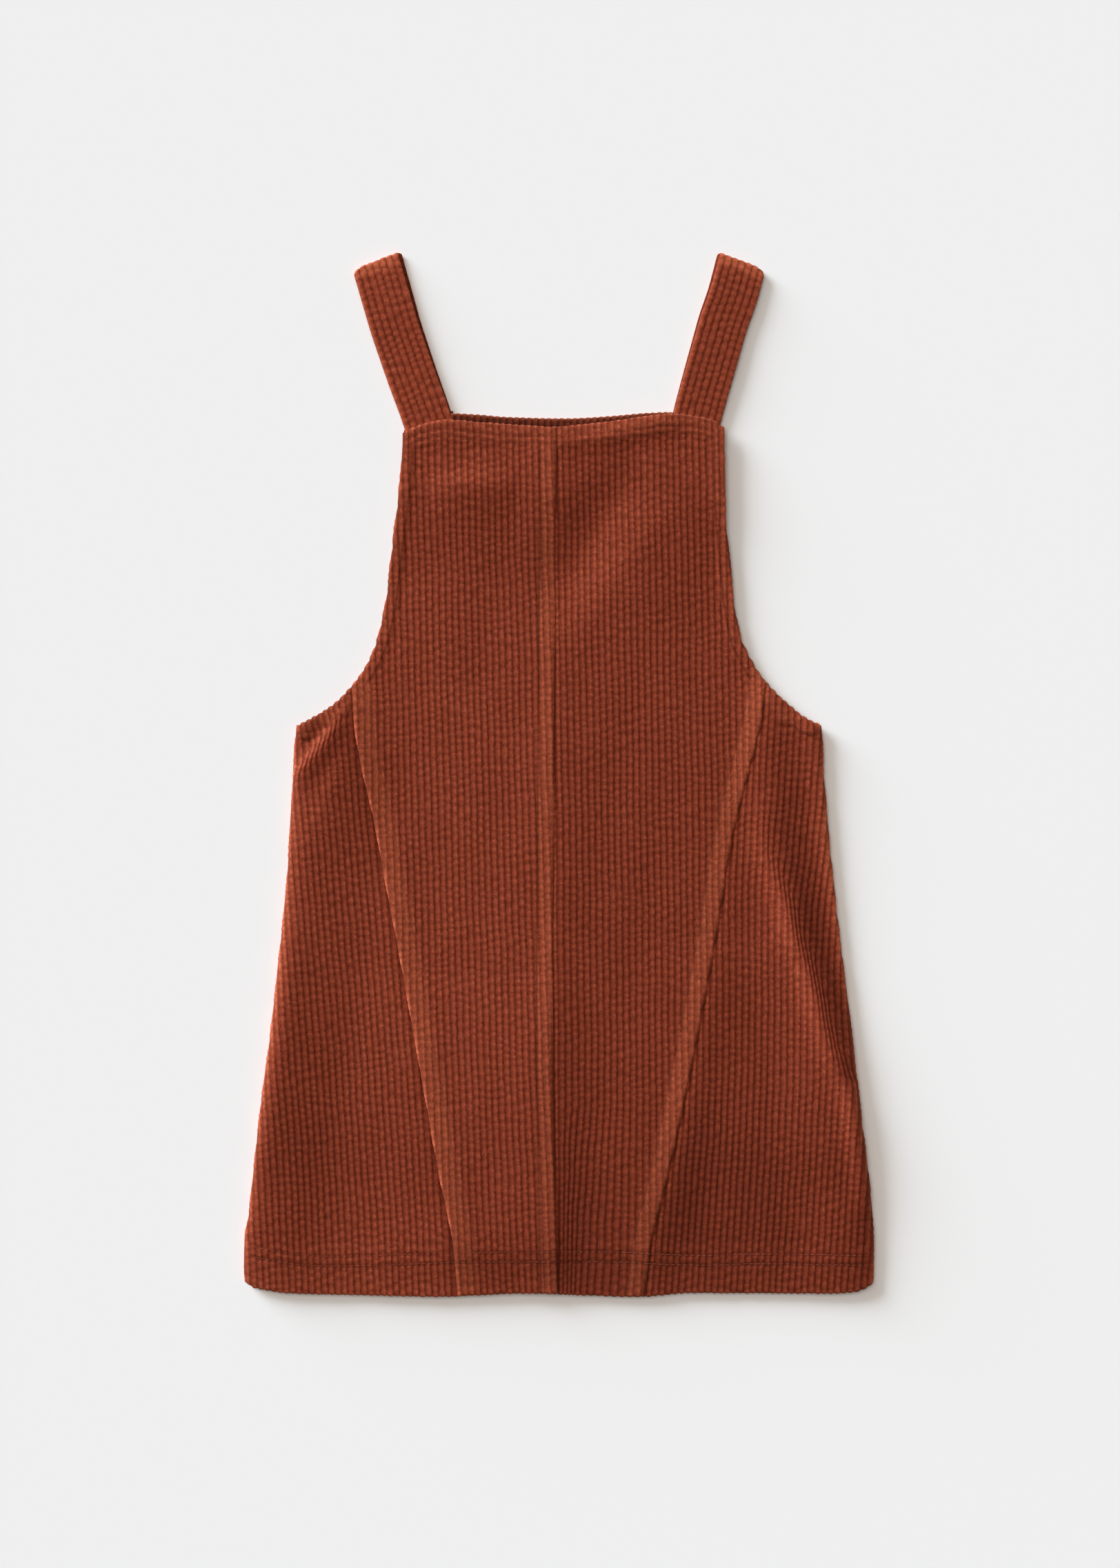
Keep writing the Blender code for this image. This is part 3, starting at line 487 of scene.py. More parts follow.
def trimmed_lines(edges: Sequence[Edge]) -> list[Array]:
    """Cut each edge's line where it meets the lines before and after it."""
    lines = [edge.line() for edge in edges]
    starts = [0.0] * len(lines)
    ends = [0.0] * len(lines)
    for i, line in enumerate(lines):
        following = (i + 1) % len(lines)
        ends[i], starts[following] = crossing(line, lines[following])
    return [cut_line(line, starts[i], ends[i]) for i, line in enumerate(lines)]


# ---- Rounded side edges ----
class Rounding:
    """A quarter of an ellipse, unrolled, by which a side edge curves over."""

    def __init__(self, width: float, rise: float, samples: int = 181) -> None:
        """Measure the cloth's length round the edge.

        Args:
            width: Distance in from the edge to where it is level.
            rise: Height between the edge and there.
            samples: Number of steps used to measure it.
        """
        angles = np.linspace(0.0, 0.5 * math.pi, samples)
        self.width = width
        self.inward = width * (1.0 - np.cos(angles))
        self.spare = running_total(np.hypot(
            np.diff(self.inward), np.diff(np.sin(angles)) * rise)) - self.inward

    def extra(self, inward: Array) -> Array:
        """Length of cloth hidden by the curve between each place and the level."""
        return self.spare[-1] - np.interp(inward, self.inward, self.spare)

    def share(self, inward: Array) -> Array:
        """Share of the rise that is reached at each distance from the edge."""
        left = nearness(inward, self.width)
        return np.sqrt(np.maximum(1.0 - left * left, 0.0))


# ---- Wales: where they run on a panel ----
@dataclass(frozen=True)
class Squeeze:
    """Wales drawn together along a fold.

    Attributes:
        line: Places along the fold, from the top down.
        width: Distance across over which they are drawn together.
        moved: 1 where the wales to the right of it move in, or -1.
        relax: Distance past the fold over which they spread out again, or 0.
    """

    line: tuple[Gather, ...]
    width: float
    moved: int = 1
    relax: float = 0.0

    def drawn(self, x: Array, y: Array) -> Array:
        """How far the wale seen at each point has been drawn across."""
        xs, heights, swallowed = zip(*self.line[::-1])
        amount = np.interp(y, heights, swallowed)
        past = (x - np.interp(y, heights, xs)) * self.moved
        share = smooth_step(-0.5 * self.width, 0.5 * self.width, past)
        if self.relax > 0.0:
            share = share * smooth_step(0.5 * self.width + self.relax, 0.5 * self.width,
                                        past)
        return self.moved * amount * share


@dataclass(frozen=True)
class Grain:
    """Where the wales of one piece run.

    Attributes:
        leans: Degrees by which the wales slant to the right, going down.
        squeezes: Folds that draw them together.
        wander: Height of a slight, slow waviness.
        phase: Shift of the first wale, in wales.
    """

    leans: Levels = ((0.0, 0.0),)
    squeezes: tuple[Squeeze, ...] = ()
    wander: float = 0.00014
    phase: float = 0.0

    LOWEST_Y = -0.340
    SAMPLES = 281
    # share of the waviness, waves across and up (radians a metre), and phase
    WAVES = ((1.0, 47.0, 61.0, 1.3), (1.0, -83.0, 37.0, 0.0), (0.6, 29.0, 143.0, 2.1))

    def drift(self, y: Array) -> Array:
        """How far the wales have drifted to the right on the way down to y."""
        heights = np.linspace(self.LOWEST_Y, REFERENCE_Y, self.SAMPLES)
        slant = np.tan(np.radians(read_levels(self.leans, heights)))
        step = heights[1] - heights[0]
        below = running_total(0.5 * (slant[1:] + slant[:-1]) * step)
        return np.interp(y, heights, below[-1] - below)

    def across(self, x: Array, y: Array) -> Array:
        """Place along the cloth of each point seen from above."""
        waves = sum(share * np.sin(right * x + up * y + phase)
                    for share, right, up, phase in self.WAVES)
        w = x - self.drift(y) + self.wander * waves + self.phase * WALE_PITCH
        for squeeze in self.squeezes:
            w = w + squeeze.drawn(x, y)
        return w


# ---- Folds ----
class Fade(Enum):
    """Which ends of a fold run out."""

    BOTH = "both ends"
    START = "its start"
    NONE = "neither end"


@dataclass(frozen=True)
class SoftFold:
    """A soft ridge along a line, or a trough where its height is below 0.

    Left and right are those of somebody who walks along the line.

    Attributes:
        line: Places along it.
        peak: Its height where it is highest.
        left: How far it reaches to its left.
        right: How far it reaches to its right.
        fade: Which of its ends run out.
    """

    line: tuple[Point, ...]
    peak: float
    left: float
    right: float
    fade: Fade = Fade.BOTH

    REACH = 2.6
    STEPS = 8
    SWELL = 0.8

    def height(self, x: Array, y: Array) -> Array:
        """Height of the fold at each point."""
        stops = np.linspace(0.0, 1.0, len(self.line))
        places = np.linspace(0.0, 1.0, (len(self.line) - 1) * self.STEPS + 1)
        route = np.column_stack([SmoothCurve([*zip(stops, values)]).at(places)
                                 for values in zip(*self.line)])
        span = {Fade.BOTH: math.pi, Fade.START: 0.5 * math.pi, Fade.NONE: 0.0}[self.fade]
        rise = (np.sin(span * places) if span else np.ones(len(places))) ** self.SWELL
        reach = self.REACH * max(self.left, self.right)
        low, high = route.min(axis=0) - reach, route.max(axis=0) + reach
        result = np.zeros(np.shape(x))
        near = (x > low[0]) & (x < high[0]) & (y > low[1]) & (y < high[1])
        px, py = x[near], y[near]
        best = np.full(len(px), np.inf)
        height = np.zeros(len(px))
        for i, (a, b) in enumerate(zip(route[:-1], route[1:])):
            dx, dy = b - a
            t = np.clip(((px - a[0]) * dx + (py - a[1]) * dy) / (dx * dx + dy * dy), 0.0, 1.0)
            gap_x, gap_y = px - a[0] - t * dx, py - a[1] - t * dy
            gap = np.hypot(gap_x, gap_y)
            wide = np.where(dx * gap_y - dy * gap_x > 0.0, self.left, self.right)
            closer = gap < best
            best = np.where(closer, gap, best)
            full = rise[i] + t * (rise[i + 1] - rise[i])
            height = np.where(closer, full * np.exp(-(gap / wide) ** 2), height)
        result[near] = self.peak * height
        return result


def fold(peak: float, left: float, right: float, *line: tuple[int, int],
         fade: Fade = Fade.BOTH) -> SoftFold:
    """A soft fold, with the places along it in tenths of a millimetre."""
    return SoftFold(tenths(*line), peak, left, right, fade)


FOLDS = (
    # the long fold that runs from under the right arm to the side seam
    fold(0.0032, 0.0140, 0.0085, (1235, -80), (1262, -420), (1334, -626), (1397, -790),
         (1451, -987), (1518, -1151), (1568, -1310), (1610, -1478), (1665, -1655), (1735, -1820),
         (1800, -2020), (1862, -2300)),
    # the cloth falls from it to the side
    fold(-0.0040, 0.0110, 0.0150, (1400, 500), (1465, 100), (1515, -350), (1590, -700),
         (1665, -1050), (1715, -1300), (1790, -1700)),
    # crease from the left armhole to the side seam, and the hollow outside it
    fold(0.0013, 0.0080, 0.0038, (-1235, 500), (-1325, 350), (-1380, 275), (-1436, 190),
         (-1496, 111), (-1556, 45), (-1622, -33), (-1700, -120)),
    fold(-0.0008, 0.0055, 0.0050, (-1400, 360), (-1500, 240), (-1590, 110)),
    # swell under that crease
    fold(0.0009, 0.0260, 0.0090, (-1200, 380), (-1290, 130), (-1400, -150), (-1560, -520)),
    # diagonal swell across the bib's right half, and the hollow above it
    fold(0.0015, 0.0150, 0.0360, (100, 700), (270, 1020), (440, 1270), (610, 1480), (800, 1720)),
    fold(-0.0018, 0.0175, 0.0140, (-80, 900), (40, 1220), (150, 1450), (270, 1630), (400, 1770),
         (560, 1880)),
    fold(0.0009, 0.0050, 0.0080, (-200, 2010), (200, 2050), (450, 2100), (760, 2170)),
    # soft swells on its left half
    fold(0.0015, 0.0090, 0.0160, (-800, 1750), (-550, 1765), (-260, 1740)),
    fold(0.0008, 0.0260, 0.0240, (-750, 1650), (-710, 1350), (-600, 1000), (-500, 600)),
    # the left front stands over the right one along the centre, most at the hem
    fold(0.0007, 0.0170, 0.0450, (-30, 700), (-36, -300), (-40, -1400), (-38, -2600),
         (-10, -3600), fade=Fade.START),
    fold(0.0034, 0.0450, 0.0900, (-340, -1200), (-330, -2000), (-300, -2700), (-280, -3400),
         fade=Fade.START),
    # the right shaped seam, and slow swells across the skirt
    fold(0.0019, 0.0200, 0.0450, (950, -1000), (840, -1600), (680, -2300), (570, -2800),
         (500, -3400)),
    fold(0.0020, 0.0400, 0.0300, (600, -2130), (1050, -2230), (1500, -2240), (2050, -2150)),
    fold(0.0013, 0.0160, 0.0100, (-1640, -800), (-1690, -1300), (-1760, -1800), (-1850, -2500)),
    fold(0.0034, 0.0060, 0.0080, (1795, -1850), (1830, -2100), (1868, -2400), (1900, -2700)),
    # the hem's upper stitching stands up a little
    fold(0.0005, 0.0050, 0.0190, (-2100, -2895), (-1200, -2925), (200, -2900), (1100, -2920),
         (2100, -2920), fade=Fade.NONE),
)
RIPPLES = (
    # height, waves per metre across and up, and phase in radians
    (0.00012, 88.0, 14.0, 0.4), (0.00006, -97.0, 52.0, 2.2),
    (0.00007, 190.0, -38.0, 4.0), (0.00006, 21.0, 104.0, 1.1),
)


class FrontForm:
    """How the front of the dress lies over its back."""

    @staticmethod
    def side_distance(x: Array, y: Array) -> Array:
        """Distance in from the nearer side seam, across the dress."""
        return np.minimum(x - side_left.at(y), side_right.at(y) - x)

    @classmethod
    def loft(cls, x: Array, y: Array) -> Array:
        """How far the front stands off the back, before folds."""
        below_arm = smooth_step(SIDE_LOFT_START, SIDE_LOFT_FULL, y)
        near_side = smooth_step(SIDE_LOFT_WIDTH, FRONT_ROUND, cls.side_distance(x, y))
        near_side = np.where(x < 0.0, LEFT_LOFT_SHARE * near_side, near_side)
        at_neck = smooth_step(NECK_LOFT_DEPTH + NECK_LOFT_FADE, NECK_LOFT_DEPTH,
                              front_neck.at(x) - y)
        return np.maximum(SIDE_LOFT * near_side * below_arm, NECK_LOFT * at_neck)

    @classmethod
    def folds(cls, x: Array, y: Array) -> Array:
        """Height of all folds together."""
        return cls.settled(x, y) * sum(fold.height(x, y) for fold in FOLDS)

    @staticmethod
    def ripples(x: Array, y: Array) -> Array:
        """Slight unevenness of cloth that was laid out by hand."""
        return sum(height * np.sin(across * x + up * y + phase)
                   for height, across, up, phase in RIPPLES)

    @staticmethod
    def settled(x: Array, y: Array) -> Array:
        """Share of the folds and loft that is left towards the hem."""
        return 1.0 - HEM_SETTLED * smooth_step(0.040, 0.0, y - hem.at(x))

    @classmethod
    def painted_fold_light(cls, x: Array, y: Array) -> Array:
        """Painted light and shade: lighter where a fold faces the lamp, darker where it faces
        away.
        """
        step = 0.001
        level, left, above = (cls.folds(*at) + cls.loft(*at)
                              for at in ((x, y), (x - step, y), (x, y + step)))
        turned = (TOWARDS_LAMP[0] * (left - level) + TOWARDS_LAMP[1] * (level - above)) / step
        return 1.0 + np.clip(FOLD_LIGHT_SHARE * turned, -FOLD_LIGHT_MOST, FOLD_LIGHT_MOST)

    @classmethod
    def inner_height(cls, x: Array, y: Array) -> Array:
        """Height of the inner face of the front."""
        lowest = BACK_CLOTH + LAY_GAP
        raised = ((REST_LOFT + cls.loft(x, y)) * cls.settled(x, y)
                  + FOLD_INNER_SHARE * cls.folds(x, y))
        return lowest + np.maximum(raised, 0.0)


# ---- Node trees ----
class Graph:
    """Adds nodes to a tree, feeds their inputs and joins them."""

    SIGNS = {"+": "ADD", "-": "SUBTRACT", "*": "MULTIPLY", "/": "DIVIDE"}

    def __init__(self, tree: bpy.types.NodeTree) -> None:
        """Start on a tree."""
        self.tree = tree

    def node(self, kind: str, feeds: dict[Any, Any] | None = None,
             **settings: Any) -> bpy.types.Node:
        """Add a node.

        Args:
            kind: Its type.
            feeds: What goes into its inputs, by name, identifier or index.
            **settings: Its own properties.

        Returns:
            The new node.
        """
        row, column = divmod(len(self.tree.nodes), 12)
        made = self.tree.nodes.new(kind)
        made.location = (220.0 * column, -260.0 * row)
        for name, value in settings.items():
            setattr(made, name, value)
        for key, value in (feeds or {}).items():
            named = [item for item in made.inputs if item.identifier == key]
            self.feed(named[0] if named else made.inputs[key], value)
        return made

    def feed(self, socket: Socket, value: Any) -> None:
        """Link another socket to an input, or set its value."""
        if isinstance(value, Socket):
            self.tree.links.new(value, socket)
        else:
            socket.default_value = value

    def math(self, sign: str, *values: Any) -> Socket:
        """Result of a Math node, by its sign or the name of its operation."""
        made = self.node("ShaderNodeMath", dict(enumerate(values)),
                         operation=self.SIGNS.get(sign, sign))
        return made.outputs[0]

    def scaled(self, vector: Any, scale: Any) -> Socket:
        """A vector or colour times a number."""
        return self.node("ShaderNodeVectorMath", {0: vector, "Scale": scale},
                         operation="SCALE").outputs[0]

    def blend(self, share: Any, first: Any, second: Any) -> Socket:
        """Mix of two colours, each given as numbers or as a socket."""
        ends = [(*end, 1.0) if isinstance(end, tuple) else end for end in (first, second)]
        made = self.node("ShaderNodeMix", {"Factor_Float": share, "A_Color": ends[0],
                                           "B_Color": ends[1]}, data_type="RGBA")
        return next(s for s in made.outputs if s.identifier == "Result_Color")


class Growth:
    """A tree of geometry nodes with named inputs."""

    def __init__(self, name: str, sizes: dict[str, float | int]) -> None:
        """Make the tree's interface.

        Args:
            name: Name of the tree.
            sizes: Its number inputs, with their usual values.
        """
        self.tree = bpy.data.node_groups.new(name, "GeometryNodeTree")
        face = self.tree.interface
        face.new_socket("Geometry", in_out="INPUT", socket_type="NodeSocketGeometry")
        for label, value in sizes.items():
            kind = "NodeSocketInt" if isinstance(value, int) else "NodeSocketFloat"
            item = face.new_socket(label, in_out="INPUT", socket_type=kind)
            item.default_value = value
        face.new_socket("Material", in_out="INPUT", socket_type="NodeSocketMaterial")
        face.new_socket("Geometry", in_out="OUTPUT", socket_type="NodeSocketGeometry")
        self.graph = Graph(self.tree)
        self.given = self.graph.node("NodeGroupInput").outputs

    def close(self, geometry: Socket) -> None:
        """End the tree: real geometry, smooth, in its material."""
        graph = self.graph
        real = graph.node("GeometryNodeRealizeInstances", {0: geometry})
        smooth = graph.node("GeometryNodeSetShadeSmooth", {0: real.outputs[0]})
        dressed = graph.node("GeometryNodeSetMaterial", {
            "Geometry": smooth.outputs[0], "Material": self.given["Material"]})
        graph.node("NodeGroupOutput", {0: dressed.outputs[0]})

    def run(self, piece: Object, values: dict[str, Any]) -> None:
        """Run the tree on a piece and keep the result as its plain mesh.

        Args:
            piece: The object to run it on.
            values: The tree's inputs, by name.
        """
        modifier = piece.modifiers.new(self.tree.name, "NODES")
        modifier.node_group = self.tree
        for item in self.tree.interface.items_tree:
            if item.in_out == "INPUT" and item.name in values:
                modifier[item.identifier] = values[item.name]
        graph = bpy.context.evaluated_depsgraph_get()
        graph.update()
        grown = bpy.data.meshes.new_from_object(
            piece.evaluated_get(graph), preserve_all_data_layers=True, depsgraph=graph)
        piece.modifiers.remove(modifier)
        before = piece.data
        piece.data = grown
        bpy.data.meshes.remove(before)
        grown.name = piece.name


class WaleGrowth(Growth):
    """Raises the wales of corduroy on a sheet that is meshed along them."""

    # How far apart the noise of neighbouring wales is read
    WANDER_APART = 0.45
    DRIFT_APART = 5.31
    JOINT_APART = 3.17
    WANDER_LENGTH = 0.017
    JOINT_LENGTH = 0.011
    DRIFT_MOST = 1.4
    ROUNDNESS = 1.4
    MEAN_BEAD = 0.57

    def __init__(self) -> None:
        """Build the tree."""
        super().__init__("corduroy_wales", {
            "Pitch": WALE_PITCH, "Depth": FRONT_WALE, "Sharpness": 1.0,
            "Bead Length": 0.00505, "Bead Drift": 0.026, "Beads": 1.0,
            "Bead Height": 0.52, "Bead Waist": 0.6, "Flank Light Strength": 1.0, "Sway": 0.08,
            "Seed": 1})
        graph, given = self.graph, self.given
        cloth, pile = (
            graph.node("GeometryNodeInputNamedAttribute", {"Name": name},
                       data_type=kind).outputs["Attribute"]
            for name, kind in (("cloth", "FLOAT_VECTOR"), ("pile", "FLOAT")))
        across, along = graph.node("ShaderNodeSeparateXYZ", {0: cloth}).outputs[:2]
        rank = graph.math("/", across, given["Pitch"])
        wander = self.noise(graph.math("*", rank, self.WANDER_APART),
                            graph.math("/", along, self.WANDER_LENGTH))
        rank = graph.math("+", rank, graph.math("*", wander, given["Sway"]))
        index = graph.math("FLOOR", rank)
        turn = graph.math("*", graph.math("FRACT", rank), math.pi)
        # Each wale is a chain of soft beads, parted by joints of uneven depth.
        shift = self.noise(graph.math("*", index, self.DRIFT_APART),
                           graph.math("/", along, given["Bead Drift"]))
        beat = graph.math("+", graph.math("/", along, given["Bead Length"]),
                          graph.math("*", shift, self.DRIFT_MOST))
        bead = graph.math("POWER", graph.math("ABSOLUTE", graph.math(
            "SINE", graph.math("*", beat, math.pi))), self.ROUNDNESS)
        joint = self.noise(graph.math("*", index, self.JOINT_APART),
                           graph.math("/", along, self.JOINT_LENGTH))
        strength = graph.math("+", 0.75, graph.math("*", 0.5, joint))
        strength = graph.math("*", strength, given["Beads"])
        lump = graph.math("*", graph.math("-", bead, self.MEAN_BEAD), strength)
        narrow = graph.math("-", given["Sharpness"], graph.math("*", lump, given["Bead Waist"]))
        crest = graph.math("POWER", graph.math("SINE", turn), narrow)
        swell = graph.math("+", 1.0, graph.math("*", lump, given["Bead Height"]))
        raised = graph.math("*", graph.math("*", crest, pile), swell)
        height = graph.math("*", raised, given["Depth"])
        normal = graph.node("GeometryNodeInputNormal").outputs[0]
        # Painted light on one flank of each wale, against the lamp's own shading
        flank_light_strength = graph.math("*", given["Flank Light Strength"], -1.0)
        painted_flank_light = graph.math("*", graph.math("COSINE", turn), flank_light_strength)
        geometry = given["Geometry"]
        for name, value in (("crest", crest), ("lump", lump), ("painted_flank_light", painted_flank_light)):
            geometry = graph.node("GeometryNodeStoreNamedAttribute", {
                "Geometry": geometry, "Name": name, "Value": value}, data_type="FLOAT",
                domain="POINT").outputs[0]
        moved = graph.node("GeometryNodeSetPosition", {
            "Geometry": geometry, "Offset": graph.scaled(normal, height)})
        self.close(moved.outputs[0])

    def noise(self, across: Socket, along: Socket) -> Socket:
        """Soft noise between about -1 and 1 over two coordinates and the seed."""
        graph = self.graph
        spot = graph.node("ShaderNodeCombineXYZ", {
            0: across, 1: along, 2: graph.math("*", self.given["Seed"], 3.7)})
        cloud = graph.node("ShaderNodeTexNoise", {
            "Vector": spot.outputs[0], "Scale": 1.0, "Detail": 1.0, "Roughness": 0.5})
        return graph.math("*", graph.math("-", cloud.outputs[0], 0.5), 3.0)


class StitchGrowth(Growth):
    """Lays stitches end to end along lines of thread."""

    def __init__(self) -> None:
        """Build the tree."""
        super().__init__("topstitches", {
            "Stitch Length": 0.0030, "Gap": 0.0006, "Thread": 0.00036, "Sink": 0.0006,
            "Seed": 1})
        graph, given = self.graph, self.given
        line = graph.node("GeometryNodeMeshToCurve", {"Mesh": given["Geometry"]})
        pace = graph.math("+", given["Stitch Length"], given["Gap"])
        stops = graph.node("GeometryNodeResampleCurve", {
            "Curve": line.outputs[0], "Length": pace}, mode="LENGTH")
        place = graph.node("GeometryNodeInputPosition")
        cloud = graph.node("ShaderNodeTexNoise", {
            "Vector": place.outputs[0], "Scale": 45.0, "Detail": 1.0, "W": given["Seed"]},
            noise_dimensions="4D")
        sunk = graph.math("*", graph.math("-", cloud.outputs[0], 0.5),
                           graph.math("*", given["Sink"], -4.0))
        lower = graph.node("ShaderNodeCombineXYZ", {2: sunk})
        settled = graph.node("GeometryNodeSetPosition", {
            "Geometry": stops.outputs[0], "Offset": lower.outputs[0]})
        bead = graph.node("GeometryNodeMeshUVSphere", {
            "Segments": 6, "Rings": 5, "Radius": 0.5})
        tangent = graph.node("GeometryNodeInputTangent")
        turn = graph.node("FunctionNodeAlignRotationToVector", {
            "Vector": tangent.outputs[0]}, axis="Z")
        size = graph.node("ShaderNodeCombineXYZ", {
            0: given["Thread"], 1: given["Thread"], 2: given["Stitch Length"]})
        laid = graph.node("GeometryNodeInstanceOnPoints", {
            "Points": settled.outputs[0], "Instance": bead.outputs["Mesh"],
            "Rotation": turn.outputs[0], "Scale": size.outputs[0]})
        self.close(laid.outputs[0])


# ---- Finishes ----
def start_material(name: str, plain: dict[str, Any]
                   ) -> tuple[Material, Graph, bpy.types.NodeInputs]:
    """Start a material.

    Args:
        name: Its name.
        plain: Uniform values of its shader, by input.

    Returns:
        The material, its graph and the inputs of its shader.
    """
    material = bpy.data.materials.new(name)
    material.use_nodes = True
    inputs = material.node_tree.nodes["Principled BSDF"].inputs
    for label, value in plain.items():
        inputs[label].default_value = value
    return material, Graph(material.node_tree), inputs


@dataclass(frozen=True)
class CorduroyFinish:
    """Matt cotton corduroy with a soft nap.

    Attributes:
        name: Name of the material.
        crest: Colour on top of a wale.
        groove: Colour between two wales, darkened with painted shade.
        pressed: Colour where an iron or rubbing has laid the nap flat; it also stands for the
            painted rim highlight.
        sheen: Weight of the nap's sheen.
        sheen_tint: Its colour.
    """

    name: str
    crest: Colour = (0.276, 0.0480, 0.0205)
    groove: Colour = (0.136, 0.0165, 0.0066)
    pressed: Colour = (0.385, 0.0830, 0.0365)
    sheen: float = 0.25
    sheen_tint: Colour = (0.85, 0.36, 0.20)

    # Scale, detail and roughness of the fibres, the tufts and the mottling
    CLOUDS = ((1700.0, 1.0, 0.6), (620.0, 1.0, 0.5), (34.0, 2.0, 0.5))
    # How much each of these changes the nap's brightness; the flank share is painted light on one
    # side of each wale
    LUMP_SHARE = 0.36
    FLANK_LIGHT_SHARE = 0.78
    FIBRE_SHARE = 1.00
    TUFT_SHARE = 0.75
    MOTTLE_SHARE = 0.22
    # Pinker tint added where the brightness, painted light included, rises above 1
    LIT_TINT = (0.0, 0.036, 0.026)

    def build(self) -> Material:
        """Make the material."""
        material, graph, inputs = start_material(self.name, {
            "Roughness": 0.95, "Specular IOR Level": 0.08, "Sheen Weight": self.sheen,
            "Sheen Roughness": 0.45, "Sheen Tint": (*self.sheen_tint, 1.0)})
        crest, lump, painted_flank_light, shade, press_and_sheen = (
            graph.node("ShaderNodeAttribute", attribute_name=name).outputs["Fac"]
            for name in ("crest", "lump", "painted_flank_light", "shade", "press_and_sheen"))
        place = graph.node("ShaderNodeTexCoord").outputs["Object"]
        fibres, tufts, mottle = (
            graph.node("ShaderNodeTexNoise", {
                "Vector": place, "Scale": scale, "Detail": detail,
                "Roughness": rough}).outputs[0]
            for scale, detail, rough in self.CLOUDS)
        base = graph.blend(crest, self.groove, self.crest)
        # Share of the pressed colour: real pressing on bands, and painted highlight at rims
        soft = graph.math("*", press_and_sheen, graph.math("+", 0.30, graph.math("*", crest, 0.70)))
        # Brightness starts from the painted light and shade, then takes the beads, the painted
        # flank light, fibres, tufts and mottling
        tone_with_painted_shade = shade
        for swing, share in (
                (lump, self.LUMP_SHARE), (graph.math("*", painted_flank_light, crest), self.FLANK_LIGHT_SHARE),
                (graph.math("-", fibres, 0.5), self.FIBRE_SHARE),
                (graph.math("-", tufts, 0.5), self.TUFT_SHARE),
                (graph.math("-", mottle, 0.5), self.MOTTLE_SHARE)):
            tone_with_painted_shade = graph.math("*", tone_with_painted_shade, graph.math("+", 1.0, graph.math("*", swing, share)))
        toned = graph.scaled(graph.blend(soft, base, self.pressed), tone_with_painted_shade)
        lit = graph.math("MAXIMUM", graph.math("-", tone_with_painted_shade, 1.0), 0.0)
        paled = graph.node("ShaderNodeVectorMath", {0: lit, 1: self.LIT_TINT, 2: toned},
                           operation="MULTIPLY_ADD")
        bump = graph.node("ShaderNodeBump", {
            "Strength": 0.35, "Distance": 0.00012, "Height": fibres})
        graph.feed(inputs["Base Color"], paled.outputs[0])
        graph.feed(inputs["Normal"], bump.outputs[0])
        return material


@dataclass(frozen=True)
class ThreadFinish:
    """Twisted polyester topstitching thread."""

    name: str
    colour: Colour = (0.35, 0.066, 0.024)

    def build(self) -> Material:
        """Make the material."""
        material, graph, inputs = start_material(self.name, {"Roughness": 0.55})
        tilt = graph.node("ShaderNodeMapping", {
            "Vector": graph.node("ShaderNodeTexCoord").outputs["Object"],
            "Rotation": (0.0, 0.0, math.radians(38.0))})
        twist = graph.node("ShaderNodeTexWave", {
            "Vector": tilt.outputs[0], "Scale": 700.0, "Distortion": 1.0}).outputs[1]
        dark = tuple(0.6 * c for c in self.colour)
        bump = graph.node("ShaderNodeBump", {
            "Strength": 0.5, "Distance": 0.0001, "Height": twist})
        graph.feed(inputs["Base Color"], graph.blend(twist, dark, self.colour))
        graph.feed(inputs["Normal"], bump.outputs[0])
        return material


@dataclass(frozen=True)
class FloorFinish:
    """Plain pale paper under the dress."""

    name: str
    colour: Colour = (0.865, 0.865, 0.865)

    def build(self) -> Material:
        """Make the material."""
        return start_material(self.name, {
            "Base Color": (*self.colour, 1.0), "Roughness": 1.0,
            "Specular IOR Level": 0.0})[0]


# ---- Meshes ----
def new_object(name: str, data: bpy.types.ID) -> Object:
    """Add an object to the scene."""
    item = bpy.data.objects.new(name, data)
    bpy.context.scene.collection.objects.link(item)
    return item


@dataclass
class Shell:
    """Points and faces of a closed shell of cloth, as they are gathered."""

    points: Array
    faces: list[tuple[int, ...]]
    cloth: Array
    pile: Array
    press_and_sheen: Array
    shade: Array

    def to_object(self, name: str) -> Object:
        """Make a mesh object that carries the cloth's own coordinates."""
        mesh = bpy.data.meshes.new(name)
        mesh.from_pydata(self.points, [], self.faces)
        mesh.validate()
        place = mesh.attributes.new("cloth", "FLOAT_VECTOR", "POINT")
        flat = np.zeros((len(self.points), 3), np.float32)
        flat[:, :2] = self.cloth
        place.data.foreach_set("vector", flat.ravel())
        for label in ("pile", "press_and_sheen", "shade"):
            kept = mesh.attributes.new(label, "FLOAT", "POINT")
            kept.data.foreach_set("value", np.asarray(getattr(self, label), np.float32))
        mesh.shade_smooth()
        return new_object(name, mesh)


def triangulate(outline: Array, inner: Array, stretch: float) -> Array:
    """Triangles over a closed outline and the points in it.

    Args:
        outline: Points of the outline, as (across the wales, along them).
        inner: Points inside it.
        stretch: How much further apart the points are along the wales.

    Returns:
        Indices of the triangles' corners, outline first.
    """
    scaled = [Vector((w, v / stretch)) for w, v in np.vstack([outline, inner])]
    ring = list(range(len(outline)))
    edges = [(i, (i + 1) % len(outline)) for i in ring]
    found = delaunay_2d_cdt(scaled, edges, [ring], 1, 1e-9)
    origin = [rows[0] for rows in found[3]]
    return np.array([[origin[i] for i in face] for face in found[2]])


def signed_area(points: Array) -> float:
    """Area inside a closed outline, below 0 where it runs clockwise."""
    turn = np.roll(points, -1, axis=0)
    return 0.5 * float((points[:, 0] * turn[:, 1] - turn[:, 0] * points[:, 1]).sum())


